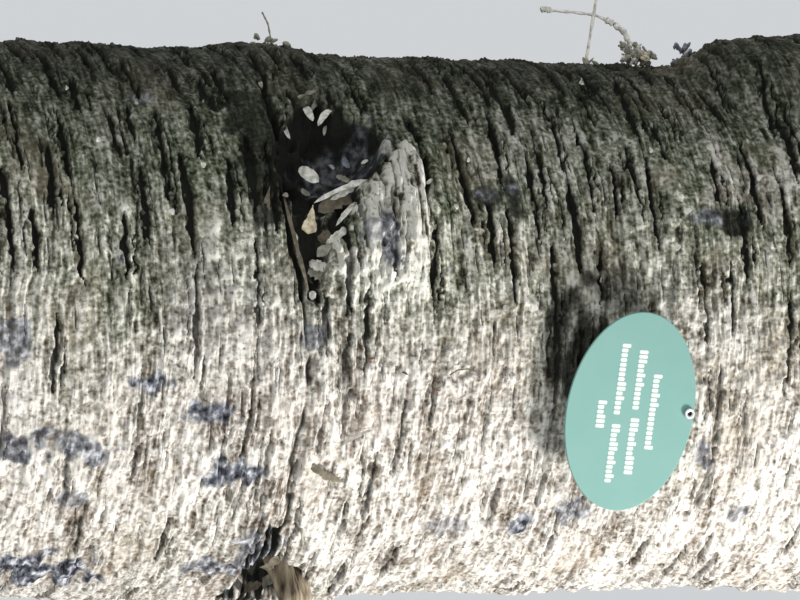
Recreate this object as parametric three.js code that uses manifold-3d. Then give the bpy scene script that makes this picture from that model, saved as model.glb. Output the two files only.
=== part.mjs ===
// A monkey puzzle tree, rooted in level ground, in millimetres with +Z up.
// The origin is the centre of the flat cut under the trunk. The side that carries the oval label faces -Y,
// and a bearing is measured from -Y towards +X.
import * as THREE from "three";
import { mergeVertices } from "three/addons/utils/BufferGeometryUtils.js";
import Module from "manifold-3d";

const wasm = await Module();
wasm.setup();
const { Manifold, Mesh: SolidMesh } = wasm;

// Driving dimensions
const TREE_HEIGHT = 12000;
const CROWN_REACH = 3200;
const CROWN_BASE = 3230;
const GAP = 0.3; // clearance between pieces that touch on the real tree

// Trunk
const TRUNK_TOP = 11450;
const TRUNK_LOW_RADIUS = 199; // taper carried down to the ground, without the root flare
const TRUNK_TIP_RADIUS = 24;
const TAPER_POWER = 1.25;
const FLARE = { out: 110, height: 230, lobes: 5, lobe: 0.22, turn: 1.0 };
const TRUNK_SIDES = 20;
const FOOT_RINGS = [0, 40, 90, 160, 250, 370];
const CROWN_RING_STEP = 750;
const WHORL_SPACING = 430; // between the rings of scars on the bare trunk
const LABEL_WHORL = 1840; // height of the ring of scars below the label
const BARE_WHORLS = [-3, -2, -1, 0, 1, 2].map((n) => LABEL_WHORL + n * WHORL_SPACING);
const WHORL_SWELL = { out: 5, half: 40, reach: 64 };

// Sockets that shed branches left in the whorl below the label, with their half sizes
const SOCKETS = [
  { bearing: -38, rise: 22, around: 50, along: 33, depth: 42, lip: 15 },
  { bearing: 67, rise: 2, around: 36, along: 26, depth: 26, lip: 4 },
  { bearing: 187, rise: 8, around: 44, along: 28, depth: 36, lip: 11 },
];
// The swollen lip beside each socket
const LIP = { turn: 11, rise: 42, around: 54, along: 40 };
const STUB = { bearing: 65, rise: 15, radius: 15, neck: 13.5, tip: 10, out: 26, sink: 60, tilt: 12 };

// Oval label and the screw that holds it off the bark
const PLATE = { long: 131, short: 88, thick: 2, hole: 2.6, holeInset: 3.9, holeAside: -4.5, roll: 7.5 };
const PLATE_BEARING = 15.9;
const PLATE_HEIGHT = 2052;
const PLATE_FACING = 9; // bearing that the plate's face looks along
const PLATE_CLEAR = 17; // from the bark to the middle of the plate's back
const SCREW = { head: 3.5, headHeight: 2.0, rim: 0.6, recess: 1.4, recessDepth: 1.2, shank: 1.9 };
const SLEEVE = { radius: 4.4, sink: 45 };

// Crown: levels of three boughs, turned from level to level
const LEVELS = 14;
const PER_LEVEL = 3;
const TOP_LEVEL_HEIGHT = 11020;
const LEVEL_POWER = 0.92;
const LEVEL_TURN = 47;
const FIRST_BEARING = 0;
const BEARING_JITTER = 7;
const REACH_JITTER = 0.06;
const OUTLINE = { fall: 1.7, round: 0.75 }; // how the crown narrows towards its top
const RISE = { base: -0.2, gain: 0.85, power: 1.3 }; // low boughs droop, high ones rise
const LIFT = { base: 0.16, gain: 0.1 }; // upward sweep of a bough's end
const SWEEP = 8; // sideways bend of a bough, in degrees
const WOOD = { root: 16, share: 0.013, run: 1.15, power: 0.8 };
const BARE_LEVELS = 4; // lower levels, whose boughs are bare near the trunk
const BARE_SHARE = 0.4;
const BARE_STEP = 0.06;
const BOUGH_SIDES = 6;
const BOUGH_STEPS = 4;

// Foliage: shoots clothed in overlapping leaves, drawn as three-sided cores with rings of leaf tips
const SHOOT_PITCH = 430;
const SHOOT_CORE = 17;
const SHOOT_CORE_END = 0.8; // share of the core's radius that a bough's wood tapers to
const SHOOT_TIPS = 82;
const RING = { tips: 0.7, neck: 0.78, fall: 0.35, point: 5 };
const SIDE_CLEAR = 90; // from the trunk's bark to the first side shoot
const SIDE_SPACING = 350;
const SIDE_FIRST = 0.35;
const SIDE_LENGTH = { root: 0.4, fall: 0.27, least: 0.88, spread: 0.24 }; // shares of the bough's reach
const SIDE_ANGLE = { root: 64, tip: 34 };
// A side shoot's droop, its lift high in the crown and its part in the bough's slope, as shares of its length
const SIDE_DROOP = { middle: 0.13, tip: 0.1, ease: 0.2, follow: 0.3 };
const SIDE_FAN = { middle: 0.11, tip: 0.3 }; // by turns up and down, so that a bough's foliage is deep
const TOP_SHOOTS = { count: 4, foot: 90, step: 45, turn: 20, length: 420, out: [190, 110], rise: [90, 170] };
const LETTERS = "abc";

const up = new THREE.Vector3(0, 0, 1);
const radians = THREE.MathUtils.degToRad;

// Repeatable number from 0 to 1 for a seed
function chance(seed) {
  const wave = Math.sin(seed * 12.9898 + 78.233) * 43758.5453;
  return wave - Math.floor(wave);
}

// Level direction of a bearing
function heading(bearing) {
  const a = radians(bearing);
  return new THREE.Vector3(Math.sin(a), -Math.cos(a), 0);
}

// Radius of the trunk's taper at a height, with no flare or swelling
function taperRadius(z) {
  const share = Math.min(1, z / TRUNK_TOP);
  return TRUNK_TIP_RADIUS + (TRUNK_LOW_RADIUS - TRUNK_TIP_RADIUS) * (1 - share ** TAPER_POWER);
}

// Radius of the trunk at a height and an angle in radians
function trunkRadius(z, angle) {
  const flare = FLARE.out * Math.exp(-z / FLARE.height);
  const lobes = 1 + FLARE.lobe * Math.cos(FLARE.lobes * angle + FLARE.turn);
  const swell = BARE_WHORLS.reduce(
    (sum, height) => sum + WHORL_SWELL.out * Math.exp(-(((z - height) / WHORL_SWELL.half) ** 2)),
    0,
  );
  return taperRadius(z) + flare * lobes + swell;
}

// A closed geometry as a solid, with its shared vertices merged
function solidOf(geometry) {
  const bare = geometry.clone();
  bare.deleteAttribute("normal");
  bare.deleteAttribute("uv");
  const merged = mergeVertices(bare, 1e-4);
  return new Manifold(
    new SolidMesh({
      numProp: 3,
      vertProperties: new Float32Array(merged.attributes.position.array),
      triVerts: new Uint32Array(merged.index.array),
    }),
  );
}

// A solid as a geometry
function geometryOf(solid) {
  const mesh = solid.getMesh();
  return new THREE.BufferGeometry()
    .setAttribute("position", new THREE.BufferAttribute(new Float32Array(mesh.vertProperties), 3))
    .setIndex(new THREE.BufferAttribute(new Uint32Array(mesh.triVerts), 1));
}

// A limb along a curve: a cylinder whose rings are moved to the stations { at, radius, turn } along it
function limb(curve, stations, sides, reference = up) {
  const last = stations.length - 1;
  const geometry = new THREE.CylinderGeometry(1, 1, 1, sides, last);
  const position = geometry.attributes.position;
  const corner = new THREE.Vector3();
  for (let i = 0; i < position.count; i++) {
    corner.fromBufferAttribute(position, i);
    const station = stations[Math.round((corner.y + 0.5) * last)];
    const forward = curve.getTangent(station.at);
    const side = new THREE.Vector3().crossVectors(forward, reference).normalize();
    const over = new THREE.Vector3().crossVectors(side, forward);
    const flat = new THREE.Vector2(corner.x, corner.z).rotateAround(new THREE.Vector2(), station.turn ?? 0);
    const place = curve.getPoint(station.at);
    place.addScaledVector(side, flat.x * station.radius);
    place.addScaledVector(over, flat.y * station.radius);
    position.setXYZ(i, place.x, place.y, place.z);
  }
  return solidOf(geometry);
}

// An ellipsoid on the trunk's surface, with half sizes around and along the trunk and out of it
function blister(bearing, height, around, along, out, detail = 1) {
  const geometry = new THREE.IcosahedronGeometry(1, detail);
  geometry.scale(around, out, along);
  geometry.rotateZ(radians(bearing));
  const place = heading(bearing).multiplyScalar(taperRadius(height));
  geometry.translate(place.x, place.y, height);
  return solidOf(geometry);
}

// The trunk's tapered column, grown outwards by a clearance
function column(clearance) {
  const whorls = BARE_WHORLS.flatMap((z) => [z - WHORL_SWELL.reach, z, z + WHORL_SWELL.reach]);
  const above = [];
  for (let z = CROWN_BASE; z < TRUNK_TOP - CROWN_RING_STEP / 2; z += CROWN_RING_STEP) above.push(z);
  const heights = [...FOOT_RINGS, ...whorls, ...above, TRUNK_TOP].sort((a, b) => a - b);
  const last = heights.length - 1;
  const geometry = new THREE.CylinderGeometry(1, 1, 1, TRUNK_SIDES, last);
  const position = geometry.attributes.position;
  for (let i = 0; i < position.count; i++) {
    const z = heights[Math.round((position.getY(i) + 0.5) * last)];
    const x = position.getZ(i);
    const y = position.getX(i);
    const radius = Math.hypot(x, y) < 0.5 ? 0 : trunkRadius(z, Math.atan2(y, x)) + clearance;
    const end = z === TRUNK_TOP ? clearance : z === 0 ? -clearance : 0;
    position.setXYZ(i, x * radius, y * radius, z + end);
  }
  return solidOf(geometry);
}

// The trunk with the lips and sockets of the whorl below the label, grown outwards by a clearance
function trunkSolid(clearance) {
  let solid = column(clearance);
  for (const { bearing, rise, lip } of SOCKETS) {
    const sizes = [LIP.around, LIP.along, lip].map((size) => size + clearance);
    solid = solid.add(blister(bearing + LIP.turn, LABEL_WHORL + rise + LIP.rise, ...sizes));
  }
  for (const { bearing, rise, around, along, depth } of SOCKETS) {
    const sizes = [around, along, depth].map((size) => size - clearance);
    solid = solid.subtract(blister(bearing, LABEL_WHORL + rise, ...sizes, 2));
  }
  return solid;
}

// The dead stub that sits in the right-hand socket
function stubSolid(clearance) {
  const height = LABEL_WHORL + STUB.rise;
  const out = heading(STUB.bearing);
  const surface = out.clone().multiplyScalar(taperRadius(height)).setZ(height);
  const along = out.clone().addScaledVector(up, Math.tan(radians(STUB.tilt))).normalize();
  const axis = new THREE.LineCurve3(
    surface.clone().addScaledVector(along, -STUB.sink),
    surface.clone().addScaledVector(along, STUB.out),
  );
  const stations = [
    { at: 0, radius: STUB.radius },
    { at: STUB.sink / (STUB.sink + STUB.out), radius: STUB.neck },
    { at: 1, radius: STUB.tip },
  ];
  return limb(axis, stations, 8).subtract(clearance);
}

// Turns a piece drawn in the plate's own plane, with its face along +Z, to its place on the tree
function placeOnTree(geometry) {
  const facing = heading(PLATE_FACING);
  const level = new THREE.Vector3().crossVectors(up, facing);
  const turn = new THREE.Matrix4().makeBasis(level, up, facing);
  const radius = taperRadius(PLATE_HEIGHT) + PLATE_CLEAR;
  const place = heading(PLATE_BEARING).multiplyScalar(radius).setZ(PLATE_HEIGHT);
  geometry.rotateZ(radians(-PLATE.roll));
  geometry.applyMatrix4(turn.setPosition(place));
  return geometry;
}

// Place of the screw hole above the plate's middle
const holeHeight = PLATE.short / 2 - PLATE.holeInset;

// The oval plate with its screw hole
function plateSolid() {
  const oval = new THREE.Shape().absellipse(0, 0, PLATE.long / 2, PLATE.short / 2, 0, 2 * Math.PI);
  oval.holes.push(new THREE.Path().absarc(PLATE.holeAside, holeHeight, PLATE.hole, 0, 2 * Math.PI, true));
  const plate = new THREE.ExtrudeGeometry(oval, {
    depth: PLATE.thick,
    bevelEnabled: false,
    curveSegments: 24,
  });
  return solidOf(placeOnTree(plate));
}

// The screw: a pan head with a recess, a shank through the plate and a sleeve behind it down to the bark
function screwSolid(clearance) {
  const front = PLATE.thick + GAP;
  const top = front + SCREW.headHeight;
  const profile = [
    [0, -SLEEVE.sink],
    [SLEEVE.radius, -SLEEVE.sink],
    [SLEEVE.radius, -GAP],
    [SCREW.shank, -GAP],
    [SCREW.shank, front],
    [SCREW.head, front],
    [SCREW.head, top - SCREW.rim],
    [SCREW.head - SCREW.rim, top],
    [SCREW.recess, top],
    [SCREW.recess, top - SCREW.recessDepth],
    [0, top - SCREW.recessDepth],
  ].map(([r, z]) => new THREE.Vector2(r, z));
  const screw = new THREE.LatheGeometry(profile, 12);
  screw.rotateX(Math.PI / 2);
  screw.translate(PLATE.holeAside, holeHeight, 0);
  return solidOf(placeOnTree(screw)).subtract(clearance);
}

// A bough's own measures: its level, bearing, height on the trunk, reach and rise
function boughPlan(level, index) {
  const seed = level * PER_LEVEL + index;
  const share = (level / (LEVELS - 1)) ** LEVEL_POWER;
  const height = CROWN_BASE + (TOP_LEVEL_HEIGHT - CROWN_BASE) * share;
  const t = (height - CROWN_BASE) / (TREE_HEIGHT - CROWN_BASE);
  const outline = CROWN_REACH * (1 - t ** OUTLINE.fall) ** OUTLINE.round;
  const bare = level < BARE_LEVELS ? BARE_SHARE - BARE_STEP * level : 0;
  return {
    seed,
    level,
    name: `${String(level + 1).padStart(2, "0")}_${LETTERS[index]}`,
    height,
    reach: outline * (1 + REACH_JITTER * (2 * chance(seed) - 1)),
    bearing:
      FIRST_BEARING +
      (360 / PER_LEVEL) * index +
      LEVEL_TURN * level +
      BEARING_JITTER * (2 * chance(seed + 50) - 1),
    sweep: SWEEP * (2 * chance(seed + 90) - 1),
    crownShare: t,
    rise: RISE.base + RISE.gain * t ** RISE.power,
    lift: LIFT.base + LIFT.gain * t,
    bare,
  };
}

// Centre line of a bough: out along its bearing, rising or drooping, with its end swept upwards
class BoughLine extends THREE.Curve {
  constructor(plan) {
    super();
    this.plan = plan;
  }
  getPoint(u, target = new THREE.Vector3()) {
    const { reach, bearing, sweep, height, rise, lift } = this.plan;
    target.copy(heading(bearing + sweep * u * u)).multiplyScalar(u * reach);
    return target.setZ(height + reach * (rise * u + lift * u ** 3));
  }
}

// Radius of the wood of a bough a share u of the way out
function woodRadius(plan, u) {
  const root = WOOD.root + WOOD.share * plan.reach;
  return root + (SHOOT_CORE * SHOOT_CORE_END - root) * Math.min(1, u * WOOD.run) ** WOOD.power;
}

// Stations of a leafy shoot between two shares of its curve: rings of leaf tips on a slim core
function shootStations(from, to, length, coreAt) {
  const rings = Math.max(1, Math.round(length / SHOOT_PITCH));
  const stations = [{ at: from, radius: coreAt(from), turn: 0 }];
  for (let ring = 0; ring < rings; ring++) {
    const place = (part) => from + ((to - from) * (ring + part)) / rings;
    const size = 1 - RING.fall * (ring / rings) ** 2;
    const last = ring === rings - 1;
    stations.push({ at: place(RING.tips), radius: SHOOT_TIPS * size, turn: (ring * Math.PI) / 3 });
    stations.push({
      at: place(last ? 1 : RING.neck),
      radius: last ? RING.point : coreAt(place(RING.neck)),
      turn: ((ring + 1) * Math.PI) / 3,
    });
  }
  return stations;
}

// The side shoots of a bough: where each leaves it, on which side, and its curve
function sideShoots(plan, line) {
  const start = Math.max(plan.bare, (taperRadius(plan.height) + SIDE_CLEAR) / plan.reach);
  const leafy = 1 - start;
  const count = Math.round((leafy * plan.reach) / SIDE_SPACING);
  const rise = SIDE_DROOP.ease * plan.crownShare;
  const shoots = [];
  for (let k = 0; k < count; k++) {
    const v = (k + SIDE_FIRST) / count;
    const u = start + leafy * v;
    const side = (k + plan.seed) % 2 ? 1 : -1;
    const share = SIDE_LENGTH.root - SIDE_LENGTH.fall * v;
    const luck = SIDE_LENGTH.least + SIDE_LENGTH.spread * chance(plan.seed * 40 + k);
    const length = plan.reach * share * luck;
    const root = line.getPoint(u);
    const forward = line.getTangent(u);
    const bearing = THREE.MathUtils.radToDeg(Math.atan2(forward.x, -forward.y));
    const slope = (SIDE_DROOP.follow * forward.z) / Math.hypot(forward.x, forward.y);
    const middle = root.clone().addScaledVector(heading(bearing + side * SIDE_ANGLE.root), length / 2);
    const tip = middle.clone().addScaledVector(heading(bearing + side * SIDE_ANGLE.tip), length / 2);
    const fan = Math.floor((k + plan.seed) / 2) % 2 ? 1 : -1;
    middle.z += length * (slope - SIDE_DROOP.middle + rise + fan * SIDE_FAN.middle);
    tip.z += length * (2 * slope - SIDE_DROOP.tip + 1.5 * rise + fan * SIDE_FAN.tip);
    shoots.push({ length, curve: new THREE.QuadraticBezierCurve3(root, middle, tip) });
  }
  return shoots;
}

// One mass of foliage: the leafy end of a bough with its side shoots, from one stem
function massSolid(plan, line, clearance) {
  const onTrunk = plan.bare === 0;
  const from = onTrunk ? (0.5 * taperRadius(plan.height)) / plan.reach : plan.bare + GAP / plan.reach;
  const core = (u) => woodRadius(plan, u);
  const main = limb(line, shootStations(from, 1, (1 - from) * plan.reach, core), 3);
  const sides = sideShoots(plan, line).map(({ length, curve }) =>
    limb(curve, shootStations(0, 1, length, () => SHOOT_CORE), 3),
  );
  const mass = Manifold.union([main, ...sides]);
  return onTrunk ? mass.subtract(clearance) : mass;
}

// The bare inner part of a bough
function boughSolid(plan, line, clearance) {
  const from = (0.5 * taperRadius(plan.height)) / plan.reach;
  const stations = [];
  for (let n = 0; n <= BOUGH_STEPS; n++) {
    const at = from + ((plan.bare - from) * n) / BOUGH_STEPS;
    stations.push({ at, radius: woodRadius(plan, at) });
  }
  return limb(line, stations, BOUGH_SIDES).subtract(clearance);
}

// The leader at the very top, with a few short shoots that stand up round it
function topSolid() {
  const foot = new THREE.Vector3(0, 0, TRUNK_TOP + GAP);
  const leader = new THREE.LineCurve3(foot, new THREE.Vector3(0, 0, TREE_HEIGHT));
  const core = () => SHOOT_CORE;
  const across = new THREE.Vector3(1, 0, 0);
  const shoots = [limb(leader, shootStations(0, 1, leader.getLength(), core), 3, across)];
  const { count, step, turn, out, rise, length } = TOP_SHOOTS;
  for (let n = 0; n < count; n++) {
    const root = foot.clone().setZ(foot.z + TOP_SHOOTS.foot + step * n);
    const way = heading(FIRST_BEARING + turn + (360 / count) * n);
    const middle = root.clone().addScaledVector(way, out[0]).addScaledVector(up, rise[0]);
    const tip = middle.clone().addScaledVector(way, out[1]).addScaledVector(up, rise[1]);
    const curve = new THREE.QuadraticBezierCurve3(root, middle, tip);
    shoots.push(limb(curve, shootStations(0, 1, length, core), 3));
  }
  return Manifold.union(shoots);
}

const bark = { color: 0x8d8676, roughness: 0.95, metalness: 0 };
const limbBark = { color: 0x6f6758, roughness: 0.95, metalness: 0 };
const leaf = { color: 0x2f4d2a, roughness: 0.55, metalness: 0 };
const label = { color: 0x92c8b7, roughness: 0.45, metalness: 0 };
const steel = { color: 0xd9dcdc, roughness: 0.35, metalness: 0.6 };
const deadWood = { color: 0xa39d90, roughness: 0.9, metalness: 0 };

const tree = new THREE.Group();
tree.name = "monkey_puzzle_tree";

// Adds a solid to the tree as a named mesh with its own material
function addPiece(name, solid, finish) {
  const piece = new THREE.Mesh(geometryOf(solid), new THREE.MeshStandardMaterial(finish));
  piece.name = name;
  tree.add(piece);
}

const clearance = trunkSolid(GAP);
addPiece("trunk", trunkSolid(0), bark);
addPiece("dead_stub", stubSolid(clearance), deadWood);
addPiece("label_plate", plateSolid(), label);
addPiece("label_screw", screwSolid(clearance), steel);
for (let level = 0; level < LEVELS; level++)
  for (let index = 0; index < PER_LEVEL; index++) {
    const plan = boughPlan(level, index);
    const line = new BoughLine(plan);
    if (plan.bare) addPiece(`bough_${plan.name}`, boughSolid(plan, line, clearance), limbBark);
    addPiece(`foliage_${plan.name}`, massSolid(plan, line, clearance), leaf);
  }
addPiece("foliage_top", topSolid(), leaf);

export default tree;
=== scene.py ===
"""Monkey puzzle tree: bark, label, boughs, twigs and leaves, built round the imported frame, in metres.

The trunk, the label and the crown keep the numbers and the rule of the solid model's source.
"""

import math
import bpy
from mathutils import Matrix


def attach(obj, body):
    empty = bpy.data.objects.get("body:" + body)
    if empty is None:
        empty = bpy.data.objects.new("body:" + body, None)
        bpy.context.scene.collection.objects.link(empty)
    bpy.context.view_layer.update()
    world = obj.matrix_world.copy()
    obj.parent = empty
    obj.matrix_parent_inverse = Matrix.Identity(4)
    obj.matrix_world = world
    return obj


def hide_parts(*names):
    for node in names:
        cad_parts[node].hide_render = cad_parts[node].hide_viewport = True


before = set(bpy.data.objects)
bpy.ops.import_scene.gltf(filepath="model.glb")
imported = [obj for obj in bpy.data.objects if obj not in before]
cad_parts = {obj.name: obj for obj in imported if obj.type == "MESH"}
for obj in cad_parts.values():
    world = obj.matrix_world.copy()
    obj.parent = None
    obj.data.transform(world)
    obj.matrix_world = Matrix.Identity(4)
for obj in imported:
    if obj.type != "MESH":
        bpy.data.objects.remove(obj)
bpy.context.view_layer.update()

from types import SimpleNamespace as Values

import bpy
import numpy as np
from bpy.props import FloatProperty, FloatVectorProperty, IntProperty, PointerProperty
from bpy.types import Operator, Panel, PropertyGroup
from mathutils import Matrix, Vector

bl_info = {
    "name": "Monkey puzzle tree",
    "version": (1, 0, 0),
    "blender": (4, 5, 0),
    "location": "3D View > Sidebar > Tree",
    "description": "Bark, label, boughs, twigs and leaves of a monkey puzzle tree",
    "category": "Add Mesh",
}

# Trunk, with the numbers of the source's rule: bearings and turns in degrees, the rest in metres
TREE_HEIGHT = 12.0
CROWN_REACH = 3.2
CROWN_BASE = 3.23
TRUNK_TOP = 11.45
TRUNK_LOW_RADIUS = 0.199
TRUNK_TIP_RADIUS = 0.024
TAPER_POWER = 1.25
FLARE = Values(out=0.110, height=0.230, lobes=5, lobe=0.22, turn=1.0)
WHORL_SPACING = 0.430
LABEL_WHORL = 1.840
WHORL_SWELL = Values(out=0.005, half=0.040)
BARE_WHORLS = [LABEL_WHORL + step * WHORL_SPACING for step in range(-3, 3)]
BARK_RADIUS = 0.180

# The scars in the whorl below the label, and the swelling of the next whorl above it
SCAR = Values(bearing=67, rise=0.002, around=0.036, along=0.026, depth=0.026, lip=0.004)
REAR_SOCKET = Values(bearing=187, rise=0.008, around=0.044, along=0.028, depth=0.036, lip=0.011)
NEXT_SCAR = Values(across=-0.240, height=2.235, around=0.085, over=0.065, under=0.110, out=0.024)
HOLLOW_DEPTH = 0.042
HOLLOW_LIP = Values(bearing=-27, rise=0.064, around=0.060, along=0.042, out=0.015)
SOCKET_LIP = Values(aside=0.020, above=0.042, around=0.054, along=0.040)
STUB = Values(bearing=65, rise=0.016, radius=0.0135, neck=0.0115, out=0.026, sink=0.030, tilt=12)
STUB_WRINKLES = Values(deep=0.24, count=11, seed=5)
STUB_WOBBLE = Values(deep=0.10, count=6, rows=5, seed=6)

# Label and screw, with the source's numbers
PLATE_BEARING = 15.9
PLATE_HEIGHT = 2.052
PLATE_FACING = 9
PLATE_CLEAR = 0.017
PLATE_ROLL = 7.5
PLATE_RIM = 0.28
PLATE_HOLE = Values(radius=0.0026, inset=0.0039, aside=-0.0045)
SCREW = Values(head=0.0035, height=0.0020, rim=0.0006, recess=0.0014, recess_depth=0.0012, shank=0.0019)
SLEEVE = Values(radius=0.0044, sink=0.030, gap=0.0003)

# Crown, with the numbers of the source's rule
LEVELS = 14
PER_LEVEL = 3
TOP_LEVEL_HEIGHT = 11.02
LEVEL_POWER = 0.92
LEVEL_TURN = 47
FIRST_BEARING = 0
BEARING_JITTER = 7
REACH_JITTER = 0.06
OUTLINE = Values(fall=1.7, round=0.75)
RISE = Values(base=-0.2, gain=0.85, power=1.3)
LIFT = Values(base=0.16, gain=0.1)
SWEEP = 8
WOOD = Values(root=0.016, share=0.013, run=1.15, power=0.8, end=0.0136)
BARE_LEVELS = 4
BARE_SHARE = 0.4
BARE_STEP = 0.06
SIDE_CLEAR = 0.090
SIDE_SPACING = 0.350
SIDE_FIRST = 0.35
SIDE_LENGTH = Values(root=0.4, fall=0.27, least=0.88, spread=0.24)
SIDE_ANGLE = Values(root=64, tip=34)
SIDE_DROOP = Values(middle=0.13, tip=0.1, ease=0.2, follow=0.3)
SIDE_FAN = Values(middle=0.11, tip=0.3)
TOP_SHOOTS = Values(count=4, foot=0.090, step=0.045, turn=20, out=(0.190, 0.110), rise=(0.090, 0.170))

# Collars of the boughs, finer twigs on the source's shoots, the wood's radii from root to tip, and the number
# of points on a line
COLLAR = Values(swell=0.45, reach=0.045)
PAIR_LENGTH = 0.82
TWIG = Values(
    places=(0.2, 0.38, 0.56, 0.74), drift=0.09, stagger=0.05, length=0.42, fall=0.35, least=0.8, spread=0.4,
    angle=50, fan=14, ahead=0.55, climb=0.42, follow=0.6, lift=0.12)
SIDE_WOOD = (0.0095, 0.0055)
TWIG_WOOD = (0.0065, 0.004)
LEADER_WOOD = (0.022, 0.008)
LEADER_CLEAR = 0.03
STOUT_WOOD = 0.02
SAMPLES = Values(main=33, side=9, twig=5, trunk=17, limb=72)

# Leaves. A leaf's corners are its foot, its two widest points and its tip. It is folded along the line from
# foot to tip, its keel, and the widest points stand a little towards the shoot. Near a shoot's tip they close
# in and shrink by a part, from the start along the shoot over the span
LEAF_FACES = np.array([(0, 3, 1), (0, 2, 3)])
LEAF_WIDEST = 0.30
LEAF_KEEL = 0.09
LEAF_SINK = 0.002
LEAF_SCALE = Values(main=1.1, side=1.0, twig=0.9, trunk=1.0)
LEAFY_TRUNK = Values(low=8.4, rounds=6)
LEAF_TONES = (0.3, 0.5, 0.74, 0.9)
FRESH_TIP = Values(share=0.82, odds=0.75)
LEAF_SPREAD = Values(least=0.85, more=0.3)
LEAF_CLOSING = Values(start=0.8, span=0.2, part=0.55)
LEAF_SHRINKING = Values(start=0.7, span=0.3, part=0.25)
GOLDEN_TURN = math.radians(137.508)
PIECE_TRIANGLES = 190000

# The photograph's camera: the picture's right points up the trunk and its bottom to +X
PICTURE = (800, 600)
FOCAL_PIXELS = 4975.0
SENSOR_MM = 36.0
CAMERA_ELEVATION = math.radians(18)
CAMERA_ROLL = math.radians(0.68)
CAMERA_DISTANCE = 3.2
CAMERA_AIM = Vector((-0.0165, 0.0, 1.9562))
CLIP = (0.1, 3000)

# The camera's own right, up and forward, and its place
PICTURE_RIGHT = np.array([-math.sin(CAMERA_ROLL), -math.sin(CAMERA_ELEVATION) * math.cos(CAMERA_ROLL),
                          math.cos(CAMERA_ELEVATION) * math.cos(CAMERA_ROLL)])
PICTURE_UP = np.array([-math.cos(CAMERA_ROLL), math.sin(CAMERA_ROLL) * math.sin(CAMERA_ELEVATION),
                       -math.sin(CAMERA_ROLL) * math.cos(CAMERA_ELEVATION)])
PICTURE_FORWARD = np.array([0, math.cos(CAMERA_ELEVATION), math.sin(CAMERA_ELEVATION)])
CAMERA_PLACE = np.array([CAMERA_AIM.x, -CAMERA_DISTANCE,
                         CAMERA_AIM.z - CAMERA_DISTANCE * math.tan(CAMERA_ELEVATION)])

# Stage: bearings, climbs and spreads in degrees, the rest in metres
KEY = Values(aim=(0.05, -0.05, 1.88), bearing=54, climb=38, distance=1.8, size=0.27, spread=70)
SUN_SPREAD = 8
FILL = Values(bearing=6, climb=36.1, spread=6)
FLOOR = Values(radius=800, drop=0.001, sides=96)

# Places on the bark, as points of the picture
HOLLOW_RIM = [(278, 128), (292, 110), (312, 96), (334, 108), (354, 116), (376, 124), (390, 144),
              (382, 164), (370, 180), (352, 204), (320, 214), (296, 210), (284, 196), (279, 172)]
WEDGE_RIM = [(284, 196), (322, 208), (363, 184), (353, 218), (339, 246), (329, 268), (322, 292),
             (310, 292), (299, 270), (292, 235)]
LIP_RIM = [(384, 160), (393, 153), (404, 149), (414, 155), (421, 168), (424, 200), (430, 240),
           (428, 300), (400, 330), (346, 320), (324, 292), (336, 252), (349, 222), (364, 186)]
HOLLOW_GROOVES = [
    [(276, 118), (279, 160), (284, 210), (291, 250), (303, 300)],
    [(424, 160), (424, 205)],
    [(262, 88), (270, 110), (276, 130)],
    [(300, 240), (306, 270), (314, 300)],
]
SEAM = [(303, 300), (308, 350), (303, 400), (297, 440), (290, 480), (284, 514)]
SCAR_FOLDS = [(287, 510), (272, 518), (244, 548), (214, 590), (210, 597), (262, 597), (276, 574), (281, 548)]
FOLD_WAY = [(283, 514), (226, 597)]
# Patches of blue-grey lichen, and of pale dust in the hollow: centre, half size and strength
LICHEN_SPOTS = [
    ((150, 382), (26, 12), 1.0), ((212, 412), (28, 13), 1.0), ((232, 472), (30, 14), 1.0),
    ((38, 446), (48, 16), 0.9), ((104, 456), (20, 13), 0.9), ((50, 572), (66, 13), 1.0),
    ((16, 348), (20, 28), 0.8), ((68, 500), (20, 9), 0.7), ((204, 560), (30, 10), 0.9),
    ((312, 340), (20, 13), 0.7), ((452, 527), (24, 8), 0.6), ((521, 524), (13, 9), 1.0),
    ((571, 510), (16, 10), 0.8), ((702, 455), (12, 14), 0.8), ((737, 512), (9, 6), 0.8),
    ((487, 197), (12, 6), 0.5), ((513, 191), (9, 8), 0.6), ((708, 218), (15, 9), 0.7),
    ((744, 214), (10, 6), 0.4), ((388, 242), (12, 26), 0.9), ((362, 238), (14, 10), 0.7),
    ((246, 560), (30, 26), 0.8), ((120, 262), (12, 8), 0.6), ((450, 268), (10, 12), 0.6),
    ((140, 100), (12, 7), 0.5),
]
HOLLOW_DUST = [((352, 142), (34, 34), 0.34), ((345, 168), (18, 14), 0.55), ((318, 150), (18, 24), 0.16)]
# Darker patches: painted shadow beside the label, painted shade round the hollow, and darker bark elsewhere;
# then paler patches. Each gives centre, half size and strength
STAIN_AND_SHADOW_SPOTS = [
    ((260, 140), (34, 110), 1.0), ((300, 70), (70, 36), 0.8), ((580, 352), (32, 84), 1.0),
    ((345, 150), (60, 60), 0.6), ((620, 290), (50, 26), 0.6), ((488, 200), (22, 13), 0.9),
    ((513, 197), (14, 22), 1.0), ((200, 100), (60, 40), 0.5), ((737, 220), (24, 18), 1.0),
    ((190, 285), (70, 60), 0.3),
]
# Paler patches are painted light, where the lit side reaches further: centre, half size and strength
PAINTED_LIGHT_SPOTS = [
    ((480, 240), (60, 40), 0.4), ((525, 150), (60, 55), 0.35), ((620, 190), (60, 50), 0.35),
    ((755, 182), (60, 40), 0.65),
]

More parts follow.
